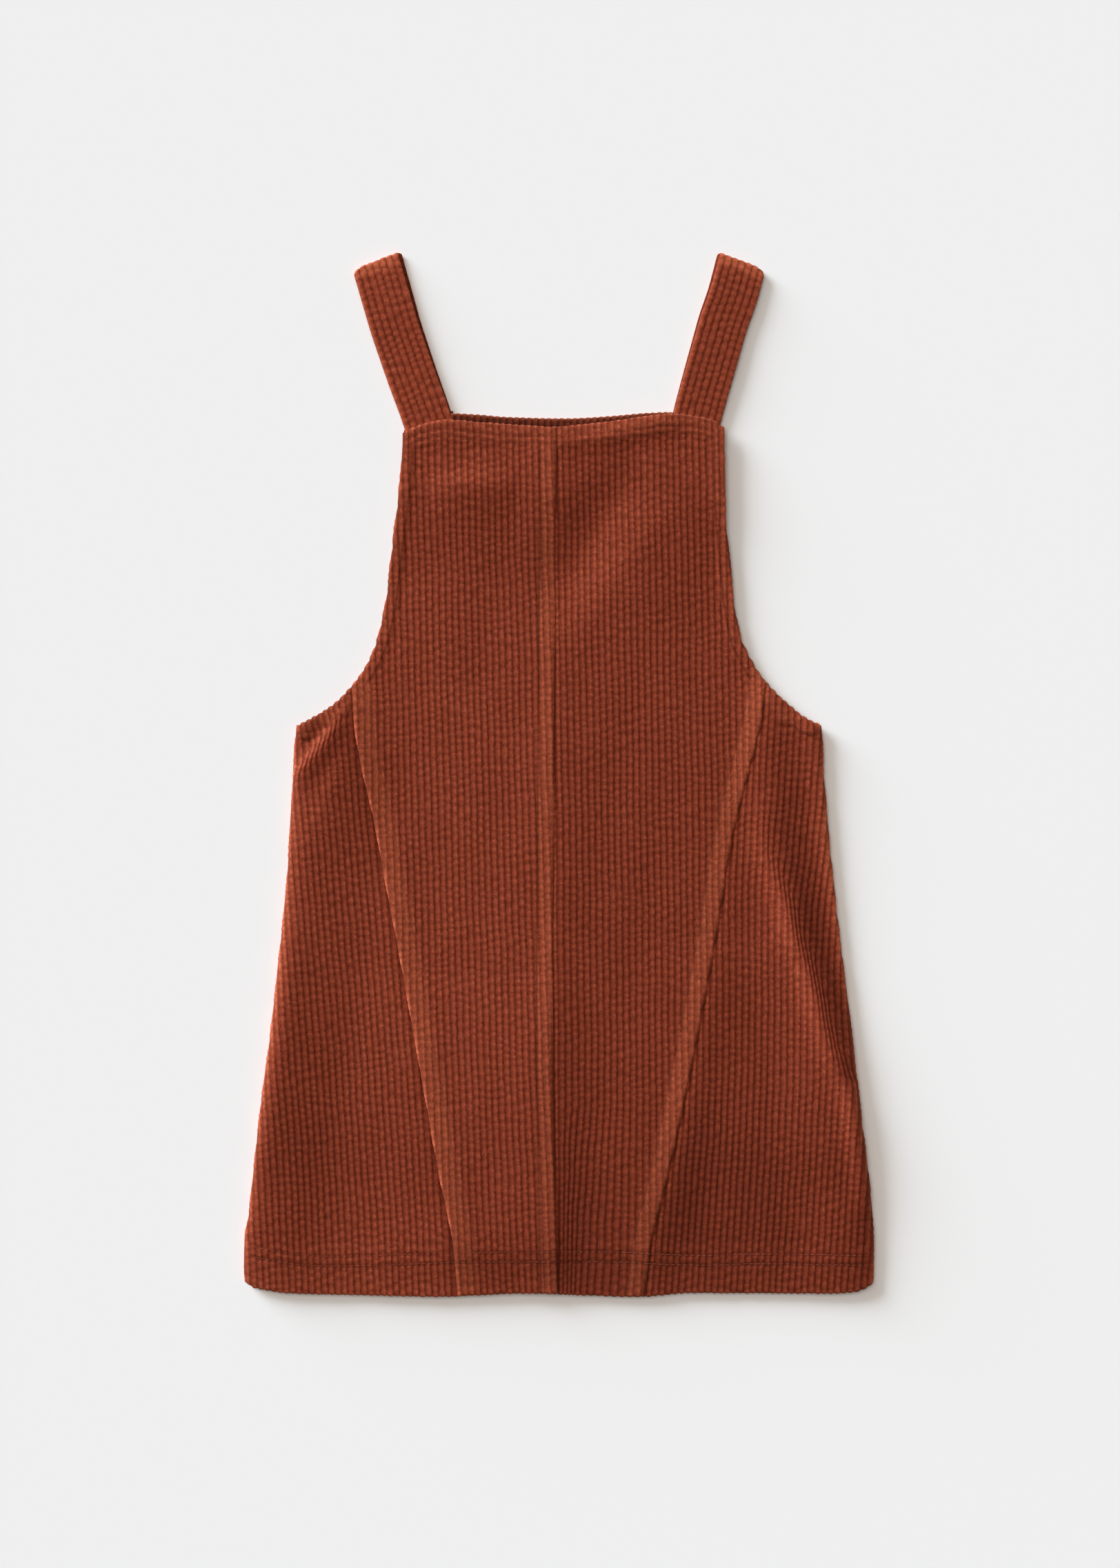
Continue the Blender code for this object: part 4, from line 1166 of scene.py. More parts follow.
def inward_of(outline: Array) -> Array:
    """Direction into a closed outline at each of its points."""
    ahead = np.roll(outline, -1, axis=0) - np.roll(outline, 1, axis=0)
    ahead /= np.linalg.norm(ahead, axis=1)[:, None]
    turn = math.copysign(1.0, signed_area(outline))
    return np.column_stack([-ahead[:, 1], ahead[:, 0]]) * turn


@dataclass
class ClothPiece:
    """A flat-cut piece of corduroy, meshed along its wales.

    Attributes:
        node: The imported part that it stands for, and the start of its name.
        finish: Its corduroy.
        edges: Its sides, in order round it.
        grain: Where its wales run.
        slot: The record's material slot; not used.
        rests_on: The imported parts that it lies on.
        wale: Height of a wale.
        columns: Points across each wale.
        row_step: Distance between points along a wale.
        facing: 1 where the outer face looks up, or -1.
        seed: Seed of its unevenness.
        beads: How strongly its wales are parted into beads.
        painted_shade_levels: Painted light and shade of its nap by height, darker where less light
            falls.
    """

    node: str
    finish: Material
    edges: list[Edge]
    grain: Grain
    slot: str = "corduroy"
    rests_on: tuple[str, ...] = ("back",)
    wale: float = FRONT_WALE
    columns: int = 8
    row_step: float = 0.00115
    facing: int = 1
    seed: int = 1
    beads: float = 1.0
    painted_shade_levels: Levels = ((0.0, 1.0),)

    # Distances in from the outline of the lines of points that follow it
    RINGS = (0.0003, 0.0007, 0.0012, 0.0018)
    # Least share of a step between two points round the piece
    SHORTEST = 0.45
    # Strength of the painted rim highlight
    RIM_LIGHT = 0.45
    CLEARANCE = 0.0022
    INNER_STEP = (0.008, 0.020)

    @property
    def column(self) -> float:
        """Distance between points across the wales."""
        return WALE_PITCH / self.columns

    def across(self, x: Array, y: Array) -> Array:
        """Place along the cloth of each point seen from above."""
        return self.grain.across(x, y)

    def side_limits(self, y: Array) -> tuple[Array, Array]:
        """Lowest and highest x that the piece may reach at each height."""
        return np.full(np.shape(y), -1.0), np.full(np.shape(y), 1.0)

    def outer_height(self, x: Array, y: Array) -> Array:
        """Height of the outer face, in the grooves."""
        raise NotImplementedError

    def inner_face(self, x: Array, y: Array) -> tuple[Array, Array, Array]:
        """Where the inner face lies under or over each point."""
        raise NotImplementedError

    def pile(self, x: Array, y: Array) -> Array:
        """Share of the wales' height at each point."""
        share = np.ones(np.shape(x))
        for edge in self.edges:
            roll = edge.roll
            near = nearness(edge.distance(x, y), roll.length)
            share = np.minimum(share, 1.0 - (1.0 - roll.pile) * near)
            if edge.band:
                share = share * (1.0 - (1.0 - edge.band.pile) * self.in_band(edge, x, y))
        return share

    def press_and_sheen(self, x: Array, y: Array) -> Array:
        """How far the nap is pressed at each point, with the painted rim highlight added."""
        share = np.zeros(np.shape(x))
        for edge in self.edges:
            share = np.maximum(share, np.minimum(self.painted_rim(edge, x, y), 1.0))
            if edge.band:
                share = np.maximum(share, edge.band.press_and_sheen * self.in_band(edge, x, y))
        return share

    def shade(self, x: Array, y: Array) -> Array:
        """Painted light and shade of the nap at each point, by height and at the rims."""
        share = read_levels(self.painted_shade_levels, y)
        for edge in self.edges:
            painted_rim = self.painted_rim(edge, x, y)
            share = share * (1.0 + np.where(painted_rim > 0.0, self.RIM_LIGHT * painted_rim, painted_rim))
        return share

    @staticmethod
    def painted_rim(edge: Edge, x: Array, y: Array) -> Array:
        """Painted highlight beside an edge, or painted shade where it is below 0."""
        near = nearness(edge.distance(x, y), edge.roll.painted_rim_width)
        return edge.roll.painted_rim * edge.rim * near * near

    @staticmethod
    def in_band(edge: Edge, x: Array, y: Array) -> Array:
        """1 on the raised strip along an edge, falling to 0 beside it."""
        band = edge.band
        inside = smooth_step(band.width + band.shoulder, band.width, edge.distance(x, y))
        return inside * smooth_step(band.top + band.FADE, band.top - band.FADE, y)

    def raised(self, x: Array, y: Array) -> Array:
        """Height of the bands along the edges."""
        total = np.zeros(np.shape(x))
        for edge in self.edges:
            band = edge.band
            if not band:
                continue
            share = self.in_band(edge, x, y)
            if band.reach > 0.0:
                share = np.exp(-(edge.distance(x, y) / band.reach) ** 2)
                share = share * smooth_step(band.top + 3.0 * band.FADE,
                                            band.top - band.FADE, y)
            low = smooth_step(*band.HEM_RISE, y)
            total = np.maximum(total, (band.height + band.hem_height * low) * share)
        return total

    def lost(self, x: Array, y: Array) -> Array:
        """Share of the wall's height that is lost to the roll at the edges."""
        share = np.zeros(np.shape(x))
        for edge in self.edges:
            near = nearness(edge.distance(x, y), edge.roll.length)
            share = np.maximum(share, edge.roll.depth * (1.0 - np.sqrt(1.0 - near * near)))
        return share

    def outline(self) -> tuple[Array, Array]:
        """Points round the piece, and how far the inner face is drawn in there."""
        rows, drawn = [], []
        for edge, line in zip(self.edges, trimmed_lines(self.edges)):
            w = self.across(*line.T) / self.column
            steps = np.nonzero(np.floor(w[1:]) != np.floor(w[:-1]))[0]
            level = np.maximum(np.floor(w[steps]), np.floor(w[steps + 1]))
            crossed = steps + (level - w[steps]) / (w[steps + 1] - w[steps])
            index = np.arange(len(line))
            run = running_total(np.hypot(np.diff(w), np.diff(line[:, 1]) / self.row_step))
            places = [0.0]
            for place in [*crossed, index[-1]]:
                start, stop = np.interp([places[-1], place], index, run)
                if stop - start < self.SHORTEST:
                    if place != index[-1]:
                        continue
                    if len(places) > 1:
                        places.pop()
                        start = np.interp(places[-1], index, run)
                parts = max(1, round(stop - start))
                places += [float(np.interp(start + (stop - start) * part / parts, run, index))
                           for part in range(1, parts + 1)]
            places = np.array(places[:-1])
            rows.append(np.column_stack([np.interp(places, index, v) for v in line.T]))
            drawn.append(np.full(len(places), edge.roll.drawn_in))
        return np.vstack(rows), np.concatenate(drawn)

    def inside(self, x: Array, y: Array, clearance: float,
               at_side: float = 0.00002) -> Array:
        """True for points at least that far in from every edge, less at the sides."""
        kept = np.ones(np.shape(x), bool)
        for edge in self.edges:
            room = at_side if edge.finish is Finish.SIDE else clearance
            kept &= edge.distance(x, y) > room
        return kept

    def lattice(self, outline: Array, column: float, step: float,
                clearance: float) -> tuple[Array, Array]:
        """Points on each wale line and row, clear of the edges.

        Args:
            outline: Points round the piece.
            column: Distance between the lines.
            step: Distance between the rows.
            clearance: Least distance to an edge.

        Returns:
            The points seen from above, and their places along the cloth.
        """
        low, high = outline.min(axis=0), outline.max(axis=0)
        ys = np.arange(low[1] + clearance, high[1] - clearance, step)
        first, last = self.side_limits(ys)
        first, last = np.maximum(first, low[0]), np.minimum(last, high[0])
        share = np.concatenate([
            0.5 * (1.0 - np.cos(np.linspace(0.0, 0.5 * math.pi, 240, endpoint=False))) * 0.2,
            np.linspace(0.1, 0.9, 900, endpoint=False),
            1.0 - 0.5 * (1.0 - np.cos(np.linspace(0.5 * math.pi, 0.0, 240))) * 0.2])
        xs = first[:, None] + (last - first)[:, None] * share[None, :]
        ws = self.across(xs, np.repeat(ys[:, None], xs.shape[1], axis=1))
        found = []
        for y, row_x, row_w in zip(ys, xs, ws):
            w = column * np.arange(math.ceil(row_w[0] / column + 0.5),
                                   math.floor(row_w[-1] / column - 0.5) + 1)
            found.append(np.column_stack([np.interp(w, row_w, row_x), np.full(len(w), y), w]))
        x, y, w = np.vstack(found).T
        kept = self.inside(x, y, clearance)
        return np.column_stack([x, y])[kept], np.column_stack([w, y])[kept]

    def rings(self, outline: Array) -> Array:
        """Points in lines that follow the outline, just inside it."""
        inward = inward_of(outline)
        free = np.ones(len(outline), bool)
        for edge in self.edges:
            if edge.finish is Finish.SIDE:
                free &= edge.distance(*outline.T) >= 0.00001
        rows = []
        for reach in self.RINGS:
            points = outline + inward * reach
            rows.append(points[free & self.inside(*points.T, 0.8 * reach, 0.00005)])
        return np.vstack(rows)

    def shell(self) -> Shell:
        """Gather the outer face, the inner face and the walls between them."""
        outline, drawn = self.outline()
        count = len(outline)
        grid, grid_places = self.lattice(outline, self.column, self.row_step, self.CLEARANCE)
        rim = np.vstack([outline, self.rings(outline)])
        plan = np.vstack([rim, grid])
        places = np.vstack([np.column_stack([self.across(*rim.T), rim[:, 1]]), grid_places])
        faces = triangulate(places[:count], places[count:], self.row_step / self.column)
        x, y = plan.T
        outer = np.column_stack([x, y, self.outer_height(x, y)])

        coarse, coarse_places = self.lattice(outline, *self.INNER_STEP, 0.003)
        lining = np.vstack([outline + inward_of(outline) * drawn[:, None], coarse])
        lining_places = np.vstack([places[:count], coarse_places])
        lining_faces = triangulate(places[:count], coarse_places,
                                   self.INNER_STEP[1] / self.INNER_STEP[0])
        inner = np.column_stack(self.inner_face(*lining.T))

        faces = self.turned(faces, plan, self.facing)
        lining_faces = self.turned(lining_faces, lining, -self.facing) + len(outer)
        i = np.arange(count)
        j = (i + 1) % count
        walls = np.column_stack([i, j, j + len(outer), i + len(outer)])
        if signed_area(outline) * self.facing > 0.0:
            walls = walls[:, ::-1]
        gathered = [*map(tuple, faces), *map(tuple, lining_faces), *map(tuple, walls)]
        zeros = np.zeros(len(inner))
        return Shell(np.vstack([outer, inner]), gathered,
                     np.vstack([places, lining_places]),
                     np.concatenate([self.pile(x, y), zeros]),
                     np.concatenate([self.press_and_sheen(x, y), zeros]),
                     np.concatenate([self.shade(x, y), zeros + 1.0]))

    @staticmethod
    def turned(faces: Array, plan: Array, up: int) -> Array:
        """The triangles, all turned to look up, or down where up is -1."""
        a, b, c = np.moveaxis(plan[faces], 1, 0)
        (bx, by), (cx, cy) = (b - a).T, (c - a).T
        wrong = (bx * cy - by * cx) * up < 0.0
        return np.where(wrong[:, None], faces[:, ::-1], faces)

    def build(self, wales: WaleGrowth) -> Object:
        """Make the piece and raise its wales."""
        piece = self.shell().to_object(self.node + "_cloth")
        wales.run(piece, {"Depth": self.wale, "Seed": self.seed,
                          "Beads": self.beads, "Material": self.finish})
        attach(piece, BODY)
        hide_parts(self.node)
        log.info("%s: %d faces", piece.name, len(piece.data.polygons))
        return piece

    def declare(self, piece: Object,
                stitching: Sequence[Object] = ()) -> None:
        """Work out the piece's trimmed outline; nothing is recorded."""
        lines = np.vstack(trimmed_lines(self.edges))
        list(self.rests_on)


@dataclass
class FrontPanel(ClothPiece):
    """A panel of the front.

    Attributes:
        side: -1 or 1 where it reaches a side seam, or 0.
        stitch_lines: Its topstitching.
    """

    side: int = 0
    stitch_lines: tuple["StitchLine", ...] = ()

    DEEPEST = -0.0006

    rounding = Rounding(FRONT_ROUND, FRONT_ROUND_RISE)

    def inward(self, x: Array, y: Array) -> Array:
        """Distance in from the rounded side edge."""
        if self.side < 0:
            return x - side_left.at(y) - SIDE_INSET
        return side_right.at(y) - SIDE_INSET - x

    def across(self, x: Array, y: Array) -> Array:
        """Place along the cloth, round the side edge too."""
        w = self.grain.across(x, y)
        if self.side == 0:
            return w
        hidden = self.rounding.extra(np.maximum(self.inward(x, y), 0.0))
        return w + self.side * hidden

    def side_limits(self, y: Array) -> tuple[Array, Array]:
        """Lowest and highest x that the panel may reach at each height."""
        low, high = super().side_limits(y)
        if self.side < 0:
            low = side_left.at(y) + SIDE_INSET
        if self.side > 0:
            high = side_right.at(y) - SIDE_INSET
        return low, high

    def edge_share(self, x: Array, y: Array) -> Array:
        """Share of the side edge's rise that is reached at each point."""
        if self.side == 0:
            return np.ones(np.shape(x))
        return self.rounding.share(self.inward(x, y))

    def outer_height(self, x: Array, y: Array) -> Array:
        """Height of the outer face, in the grooves."""
        inner = FrontForm.inner_height(x, y)
        over = (1.0 - FOLD_INNER_SHARE) * FrontForm.folds(x, y)
        over = np.maximum(over, self.DEEPEST) + self.raised(x, y) + FrontForm.ripples(x, y)
        wall = CLOTH - GROOVE + over - self.pinched(x, y)
        full = inner + wall * (1.0 - self.lost(x, y))
        return SEAM_HEIGHT + (full - SEAM_HEIGHT) * self.edge_share(x, y)

    def inner_face(self, x: Array, y: Array) -> tuple[Array, Array, Array]:
        """Where the inner face lies, drawn in by the cloth at the side seam."""
        inner = FrontForm.inner_height(x, y)
        z = SEAM_HEIGHT + (inner - SEAM_HEIGHT) * self.edge_share(x, y)
        if self.side != 0:
            x = x - self.side * CLOTH * nearness(self.inward(x, y), FRONT_ROUND)
        for edge in self.edges:
            if edge.finish is Finish.LAPPED:
                z = z + LAP_LIFT * smooth_step(*LAP_REACH, edge.distance(x, y))
        return x, y, z

    def pinched(self, x: Array, y: Array) -> Array:
        """How far lines of stitches pull the cloth down."""
        total = np.zeros(np.shape(x))
        for line in self.stitch_lines:
            total = np.maximum(total, line.sink * line.near(x, y))
        return total

    def pile(self, x: Array, y: Array) -> Array:
        """Share of the wales' height, less where stitches cross them."""
        share = super().pile(x, y)
        for line in self.stitch_lines:
            share = share * (1.0 - line.flatten * line.near(x, y))
        return share

    def shade(self, x: Array, y: Array) -> Array:
        """Painted light and shade of the nap, with the fold light and the shade in stitch dents.
        """
        share = super().shade(x, y) * FrontForm.painted_fold_light(x, y)
        for line in self.stitch_lines:
            share = share * (1.0 - line.dusk * line.near(x, y))
        return share


@dataclass(frozen=True)
class StitchLine:
    """A line of topstitching on the front.

    Attributes:
        curve: The line that it follows.
        start: Its lower or left end along the curve.
        end: Its upper or right end.
        offset: Distance from the curve, up or to the right.
        sink: How far it pulls the cloth down.
        flatten: Share of the wales' height that it takes away.
        dusk: Share of painted shade in the dent.
        width: Half width of the dent.
        shown: False where the nap hides the thread.
    """

    curve: SmoothCurve
    start: float
    end: float
    offset: float = 0.0
    sink: float = 0.00010
    flatten: float = 0.45
    dusk: float = 0.18
    width: float = 0.0009
    shown: bool = True

    FADE = 0.003
    THREAD_LIFT = 0.00030

    def near(self, x: Array, y: Array) -> Array:
        """1 on the line, falling to 0 beside it."""
        along, value = (y, x) if self.curve.reading is Reading.BY_HEIGHT else (x, y)
        reach = (value - self.curve.at(along)) / np.hypot(1.0, self.curve.slope(along))
        ends = (smooth_step(self.start - self.FADE, self.start + self.FADE, along)
                * smooth_step(self.end + self.FADE, self.end - self.FADE, along))
        return np.exp(-((reach - self.offset) / self.width) ** 2) * ends

    def thread(self, step: float) -> Array:
        """Points along the thread, a step apart."""
        places = np.arange(self.start, self.end, step)
        value = (self.curve.at(places)
                 + self.offset * np.hypot(1.0, self.curve.slope(places)))
        return np.column_stack([places, value])


@dataclass
class Back(ClothPiece):
    """The hidden back: flat underneath, and turned up at the side seams."""

    BASE = 0.00065
    TOP = SEAM_HEIGHT - SEAM_GAP

    rounding = Rounding(BACK_ROUND, TOP)

    @staticmethod
    def below_arm(y: Array) -> Array:
        """1 below the underarm, where the sides turn up."""
        return smooth_step(BACK_TURN_START, BACK_TURN_FULL, y)

    def inward(self, x: Array, y: Array) -> Array:
        """Distance in from the nearer rounded side edge."""
        return FrontForm.side_distance(x, y) - SIDE_INSET

    def side_limits(self, y: Array) -> tuple[Array, Array]:
        """Lowest and highest x that the piece may reach at each height."""
        return side_left.at(y) + SIDE_INSET, side_right.at(y) - SIDE_INSET

    def across(self, x: Array, y: Array) -> Array:
        """Place along the cloth, round the side edges too."""
        hidden = self.rounding.extra(np.maximum(self.inward(x, y), 0.0))
        return self.grain.across(x, y) + np.sign(x) * hidden * self.below_arm(y)

    def turn_up(self, x: Array, y: Array) -> Array:
        """Share of the way from flat to the side seam's height."""
        return (1.0 - self.rounding.share(self.inward(x, y))) * self.below_arm(y)

    def outer_height(self, x: Array, y: Array) -> Array:
        """Height of the grooves of the face that rests on the surface."""
        flat = self.BASE + (BACK_CLOTH - self.BASE) * self.lost(x, y)
        return flat + (self.TOP - flat) * self.turn_up(x, y)

    def inner_face(self, x: Array, y: Array) -> tuple[Array, Array, Array]:
        """Where the inner face lies."""
        left = nearness(self.inward(x, y), BACK_ROUND)
        drawn = BACK_CLOTH * left * self.below_arm(y) * np.sign(x)
        return x - drawn, y, BACK_CLOTH + (self.TOP - BACK_CLOTH) * self.turn_up(x, y)


@dataclass
class NeckFacing(ClothPiece):
    """The strip of the same corduroy inside the back neck."""

    BOTTOM = BACK_CLOTH + SEAM_GAP
    THICKNESS = 0.0011

    def outer_height(self, x: Array, y: Array) -> Array:
        """Height of the outer face, in the grooves."""
        return self.BOTTOM + self.THICKNESS * (1.0 - self.lost(x, y))

    def inner_face(self, x: Array, y: Array) -> tuple[Array, Array, Array]:
        """Where the face on the back lies."""
        return x, y, np.full(np.shape(x), self.BOTTOM)


# ---- Straps ----
@dataclass
class Strap:
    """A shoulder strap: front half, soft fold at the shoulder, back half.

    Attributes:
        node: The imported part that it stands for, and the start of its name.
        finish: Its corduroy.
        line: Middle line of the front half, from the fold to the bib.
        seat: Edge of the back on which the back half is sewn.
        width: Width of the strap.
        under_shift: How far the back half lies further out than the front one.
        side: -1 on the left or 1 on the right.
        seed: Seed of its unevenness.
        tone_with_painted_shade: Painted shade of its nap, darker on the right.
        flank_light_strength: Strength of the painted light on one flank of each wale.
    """

    node: str
    finish: Material
    line: tuple[Point, ...]
    seat: tuple[Point, Point]
    width: float
    under_shift: float
    side: int
    seed: int
    tone_with_painted_shade: float = 1.0
    flank_light_strength: float = 0.3

    CORNER = 0.0034
    CORNER_REACH = 0.0060
    CLOTH = 0.0014
    UNDER = 0.0017
    LIFT = 0.0020
    ARCH = 0.0007
    UNEVEN = 0.00018
    REST_GAP = 0.00005
    TUCK = 0.0040
    WALES = 7
    COLUMNS = 8
    STEP = 0.0011
    FOLD_STEPS = 28
    SKEW = math.radians(4.6)
    SKEW_REACH = 0.4
    SHIFT_LOSS = 0.75
    EDGE_ROUND = 0.0022
    EDGE_INSET = 0.0006
    EDGE_LEFT = 0.25
    RIM_LIGHT_WIDTH = 0.0030
    FOLD_LIGHT_REACH = 0.006
    LINING = 5

    def profile(self) -> tuple[Array, Array]:
        """Points across the outer face.

        Returns:
            Their distances from the middle line, and the share of the wall's
            height that is left there.
        """
        half = 0.5 * self.width - self.EDGE_INSET
        angles = np.linspace(0.0, 0.5 * math.pi, 60)
        edge_out = half - self.EDGE_ROUND * (1.0 - np.cos(angles))
        edge_up = self.EDGE_LEFT + (1.0 - self.EDGE_LEFT) * np.sin(angles)
        lateral = np.concatenate([-edge_out, edge_out[::-1]])
        share = np.concatenate([edge_up, edge_up[::-1]])
        run = running_total(np.hypot(np.diff(lateral), np.diff(share) * self.CLOTH))
        stops = np.linspace(0.0, run[-1], self.WALES * self.COLUMNS + 1)
        return np.interp(stops, run, lateral), np.interp(stops, run, share)

    def stations(self) -> tuple[Array, Array, Array, Array]:
        """Places along the front half, from the fold to the bib.

        Returns:
            Points of the middle line, directions ahead and across there, and
            the share of the length passed.
        """
        table = np.array(self.line)
        run = running_total(np.linalg.norm(np.diff(table, axis=0), axis=1))
        x_at, y_at = (SmoothCurve([*zip(run, values)]) for values in table.T)
        stops = np.linspace(0.0, run[-1], int(run[-1] / self.STEP))
        reach = 0.5 * self.TUCK
        ahead = np.column_stack([x_at.at(stops + reach) - x_at.at(stops - reach),
                                 y_at.at(stops + reach) - y_at.at(stops - reach)])
        ahead /= np.linalg.norm(ahead, axis=1)[:, None]
        share = stops / run[-1]
        skew = -self.side * self.SKEW * (1.0 - smooth_step(0.0, self.SKEW_REACH, share))
        across = np.column_stack([-ahead[:, 1] * np.cos(skew) - ahead[:, 0] * np.sin(skew),
                                  ahead[:, 0] * np.cos(skew) - ahead[:, 1] * np.sin(skew)])
        return np.column_stack([x_at.at(stops), y_at.at(stops)]), ahead, across, share

    def shell(self) -> Shell:
        """Sweep the section along the strap and round its fold."""
        lateral, up = self.profile()
        none = np.zeros(self.LINING)
        wall = np.concatenate([up, none])
        places = np.concatenate([lateral, np.linspace(lateral[-1], lateral[0], self.LINING)])
        corner = (2.0 * np.maximum(self.side * places, 0.0) / self.width) ** 5
        centres, ahead, across, share = self.stations()
        last = len(centres) - 1
        total = self.STEP * last
        at_fold = np.exp(-(share * total / self.CORNER_REACH) ** 2)
        ground = self.LIFT + self.CLOTH - GROOVE
        sections, lengths = [], []

        def add(i: int, shift: Array | float, passed: float, outer: tuple[float, float],
                inner: tuple[float, float]) -> None:
            """Add a section at a station, given pull and height of its two faces."""
            pull, height = (low + (high - low) * wall for high, low in zip(outer, inner))
            pull = pull + self.CORNER * at_fold[i] * corner
            sections.append(np.column_stack([
                centres[i] + shift + places[:, None] * across[i] + pull[:, None] * ahead[i],
                height]))
            lengths.append(passed)

        for extra in np.linspace(self.TUCK, 0.0, 4, endpoint=False):
            add(last, ahead[last] * extra, -extra, (0.0, ground), (0.0, self.LIFT))
        run = 0.0
        for i in range(last, -1, -1):
            if i < last:
                run += float(np.linalg.norm(centres[i] - centres[i + 1]))
            free = math.sin(math.pi * share[i])
            arch = (self.ARCH * free
                    + self.UNEVEN * free * math.sin(9.0 * share[i] + self.side))
            add(i, 0.0, run, (0.0, ground + arch), (0.0, self.LIFT + arch))

        front_length = run
        base = STRAP_WALE + self.REST_GAP
        middle, radius = 0.5 * (ground + base), 0.5 * (ground - base)
        inner_middle = 0.5 * (self.LIFT + self.UNDER)
        inner_radius = 0.5 * (self.LIFT - self.UNDER)
        for angle in np.linspace(0.0, math.pi, self.FOLD_STEPS + 1)[1:-1]:
            run += math.pi * radius / self.FOLD_STEPS
            sine, cosine = math.sin(angle), math.cos(angle)
            add(0, self.slide(0.5 * (1.0 - cosine)), run,
                (-radius * sine, middle + radius * cosine),
                (-inner_radius * sine, inner_middle + inner_radius * cosine))

        for i in range(last):
            run += float(np.linalg.norm(centres[i] - centres[max(i - 1, 0)]))
            add(i, self.slide(1.0 - self.SHIFT_LOSS * share[i]), run, (0.0, base),
                (0.0, self.UNDER))
        low, high = self.seat
        slope = (high.y - low.y) / (high.x - low.x)
        level = math.cos(math.atan(slope))
        end = sections[-1].copy()
        end[:, 0] = places * level + (
            centres[last][0] - self.side * (1.0 - self.SHIFT_LOSS) * self.under_shift)
        end[:, 1] = low.y + slope * (end[:, 0] - low.x) + SEAM_GAP / level
        sections.append(end)
        lengths.append(run + self.STEP)

        size = len(end)
        top = (len(sections) - 1) * size
        faces = [(ring + i, ring + j, ring + j + size, ring + i + size)
                 for ring in range(0, top, size)
                 for i, j in zip(range(size), [*range(1, size), 0])]
        faces += [tuple(range(size))[::-1], tuple(range(top, top + size))]
        w = np.concatenate([np.arange(len(lateral)) * WALE_PITCH / self.COLUMNS, none])
        at_edge = np.concatenate([
            smooth_step(self.RIM_LIGHT_WIDTH, 0.0, 0.5 * self.width - np.abs(lateral)), none])
        press_and_sheen, shade = self.painted_rim_and_fold(at_edge[None, :], np.array(lengths)[:, None] - front_length)
        return Shell(
            np.vstack(sections), faces,
            np.vstack([np.column_stack([w, np.full(size, passed)]) for passed in lengths]),
            np.tile(np.concatenate([np.ones(len(lateral)), none]), len(sections)),
            press_and_sheen.ravel(), shade.ravel())

    def painted_rim_and_fold(self, at_edge: Array, from_fold: Array) -> tuple[Array, Array]:
        """Painted highlight along the strap's edges and at its fold.

        Args:
            at_edge: 1 at its edges, falling to 0 beside them.
            from_fold: Distance past the start of the fold.

        Returns:
            How far the nap is pressed, partly as painted sheen, and its painted light and shade.
        """
        folded = np.exp(-(from_fold / self.FOLD_LIGHT_REACH) ** 2)
        hidden_half = smooth_step(0.004, 0.010, from_fold)
        lit = np.maximum((1.0 + 1.5 * hidden_half) * at_edge, folded)
        return (np.maximum(0.15 + 0.60 * at_edge, 0.75 * folded),
                self.tone_with_painted_shade * (1.0 + 0.40 * lit))

    def slide(self, share: float) -> Array:
        """Share of the way by which the back half lies further out."""
        return np.array([-self.side * self.under_shift * share, 0.0])

    def build(self, wales: WaleGrowth) -> Object:
        """Make the strap and raise its wales."""
        shell = self.shell()
        piece = shell.to_object(self.node + "_cloth")
        wales.run(piece, {"Depth": STRAP_WALE, "Sharpness": 0.80, "Beads": 1.15,
                          "Flank Light Strength": self.flank_light_strength, "Seed": self.seed, "Sway": 0.05,
                          "Material": self.finish})
        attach(piece, BODY)
        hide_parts(self.node)
        length = float(np.ptp(shell.cloth[:, 1]))
        log.info("%s: %d faces", piece.name, len(piece.data.polygons))
        return piece


# ---- Topstitching ----
@dataclass
class Topstitching:
    """The visible stitches of one panel."""

    name: str
    panel: FrontPanel
    finish: Material
    seed: int = 3

    STEP = 0.0010

    def build(self, stitches: StitchGrowth) -> Object | None:
        """Lay the panel's lines of thread and turn them into stitches."""
        points: list[Array] = []
        edges: list[tuple[int, int]] = []
        for line in self.panel.stitch_lines:
            if not line.shown:
                continue
            x, y = line.thread(self.STEP).T
            keep = self.panel.inside(x, y, 0.0006)
            z = self.panel.outer_height(x, y) + line.THREAD_LIFT
            first = len(points)
            points += [*np.column_stack([x, y, z])[keep]]
            edges += [(k, k + 1) for k in range(first, len(points) - 1)]
        if not points:
            return None
        mesh = bpy.data.meshes.new(self.name)
        mesh.from_pydata(points, edges, [])
        piece = new_object(self.name, mesh)
        stitches.run(piece, {"Seed": self.seed, "Material": self.finish})
        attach(piece, BODY)
        log.info("%s: %d faces", piece.name, len(piece.data.polygons))
        return piece


# ---- The dress ----
RIGHT_FOLD_GATHER = Squeeze(tenths(
    (1240, 100, 0), (1245, -168, 6), (1270, -466, 22), (1345, -626, 36), (1408, -790, 50),
    (1463, -987, 62), (1530, -1151, 70), (1582, -1310, 72), (1622, -1478, 70), (1680, -1655, 60),
    (1750, -1798, 48), (1822, -1903, 32), (1860, -2100, 10),
    (1880, -2300, 0)), width=0.0095)
LEFT_CREASE_GATHER = Squeeze(tenths(
    (-1285, 420, 0), (-1330, 350, 22), (-1395, 255, 40), (-1465, 165, 44), (-1530, 85, 38),
    (-1590, 10, 28), (-1640, -60, 14), (-1680, -200, 0)), width=0.0080, moved=-1)
CENTRE_GATHER = Squeeze(tenths(
    (40, -2000, 0), (50, -2300, 20), (60, -2700, 45), (65, -3200, 60)), width=0.0130, relax=0.045)


def stitched_row(table: tuple[Point, ...], **sizes: Any) -> StitchLine:
    """A line of stitches along the whole of a table's curve."""
    return StitchLine(SmoothCurve(table), table[0].x, table[-1].x, **sizes)


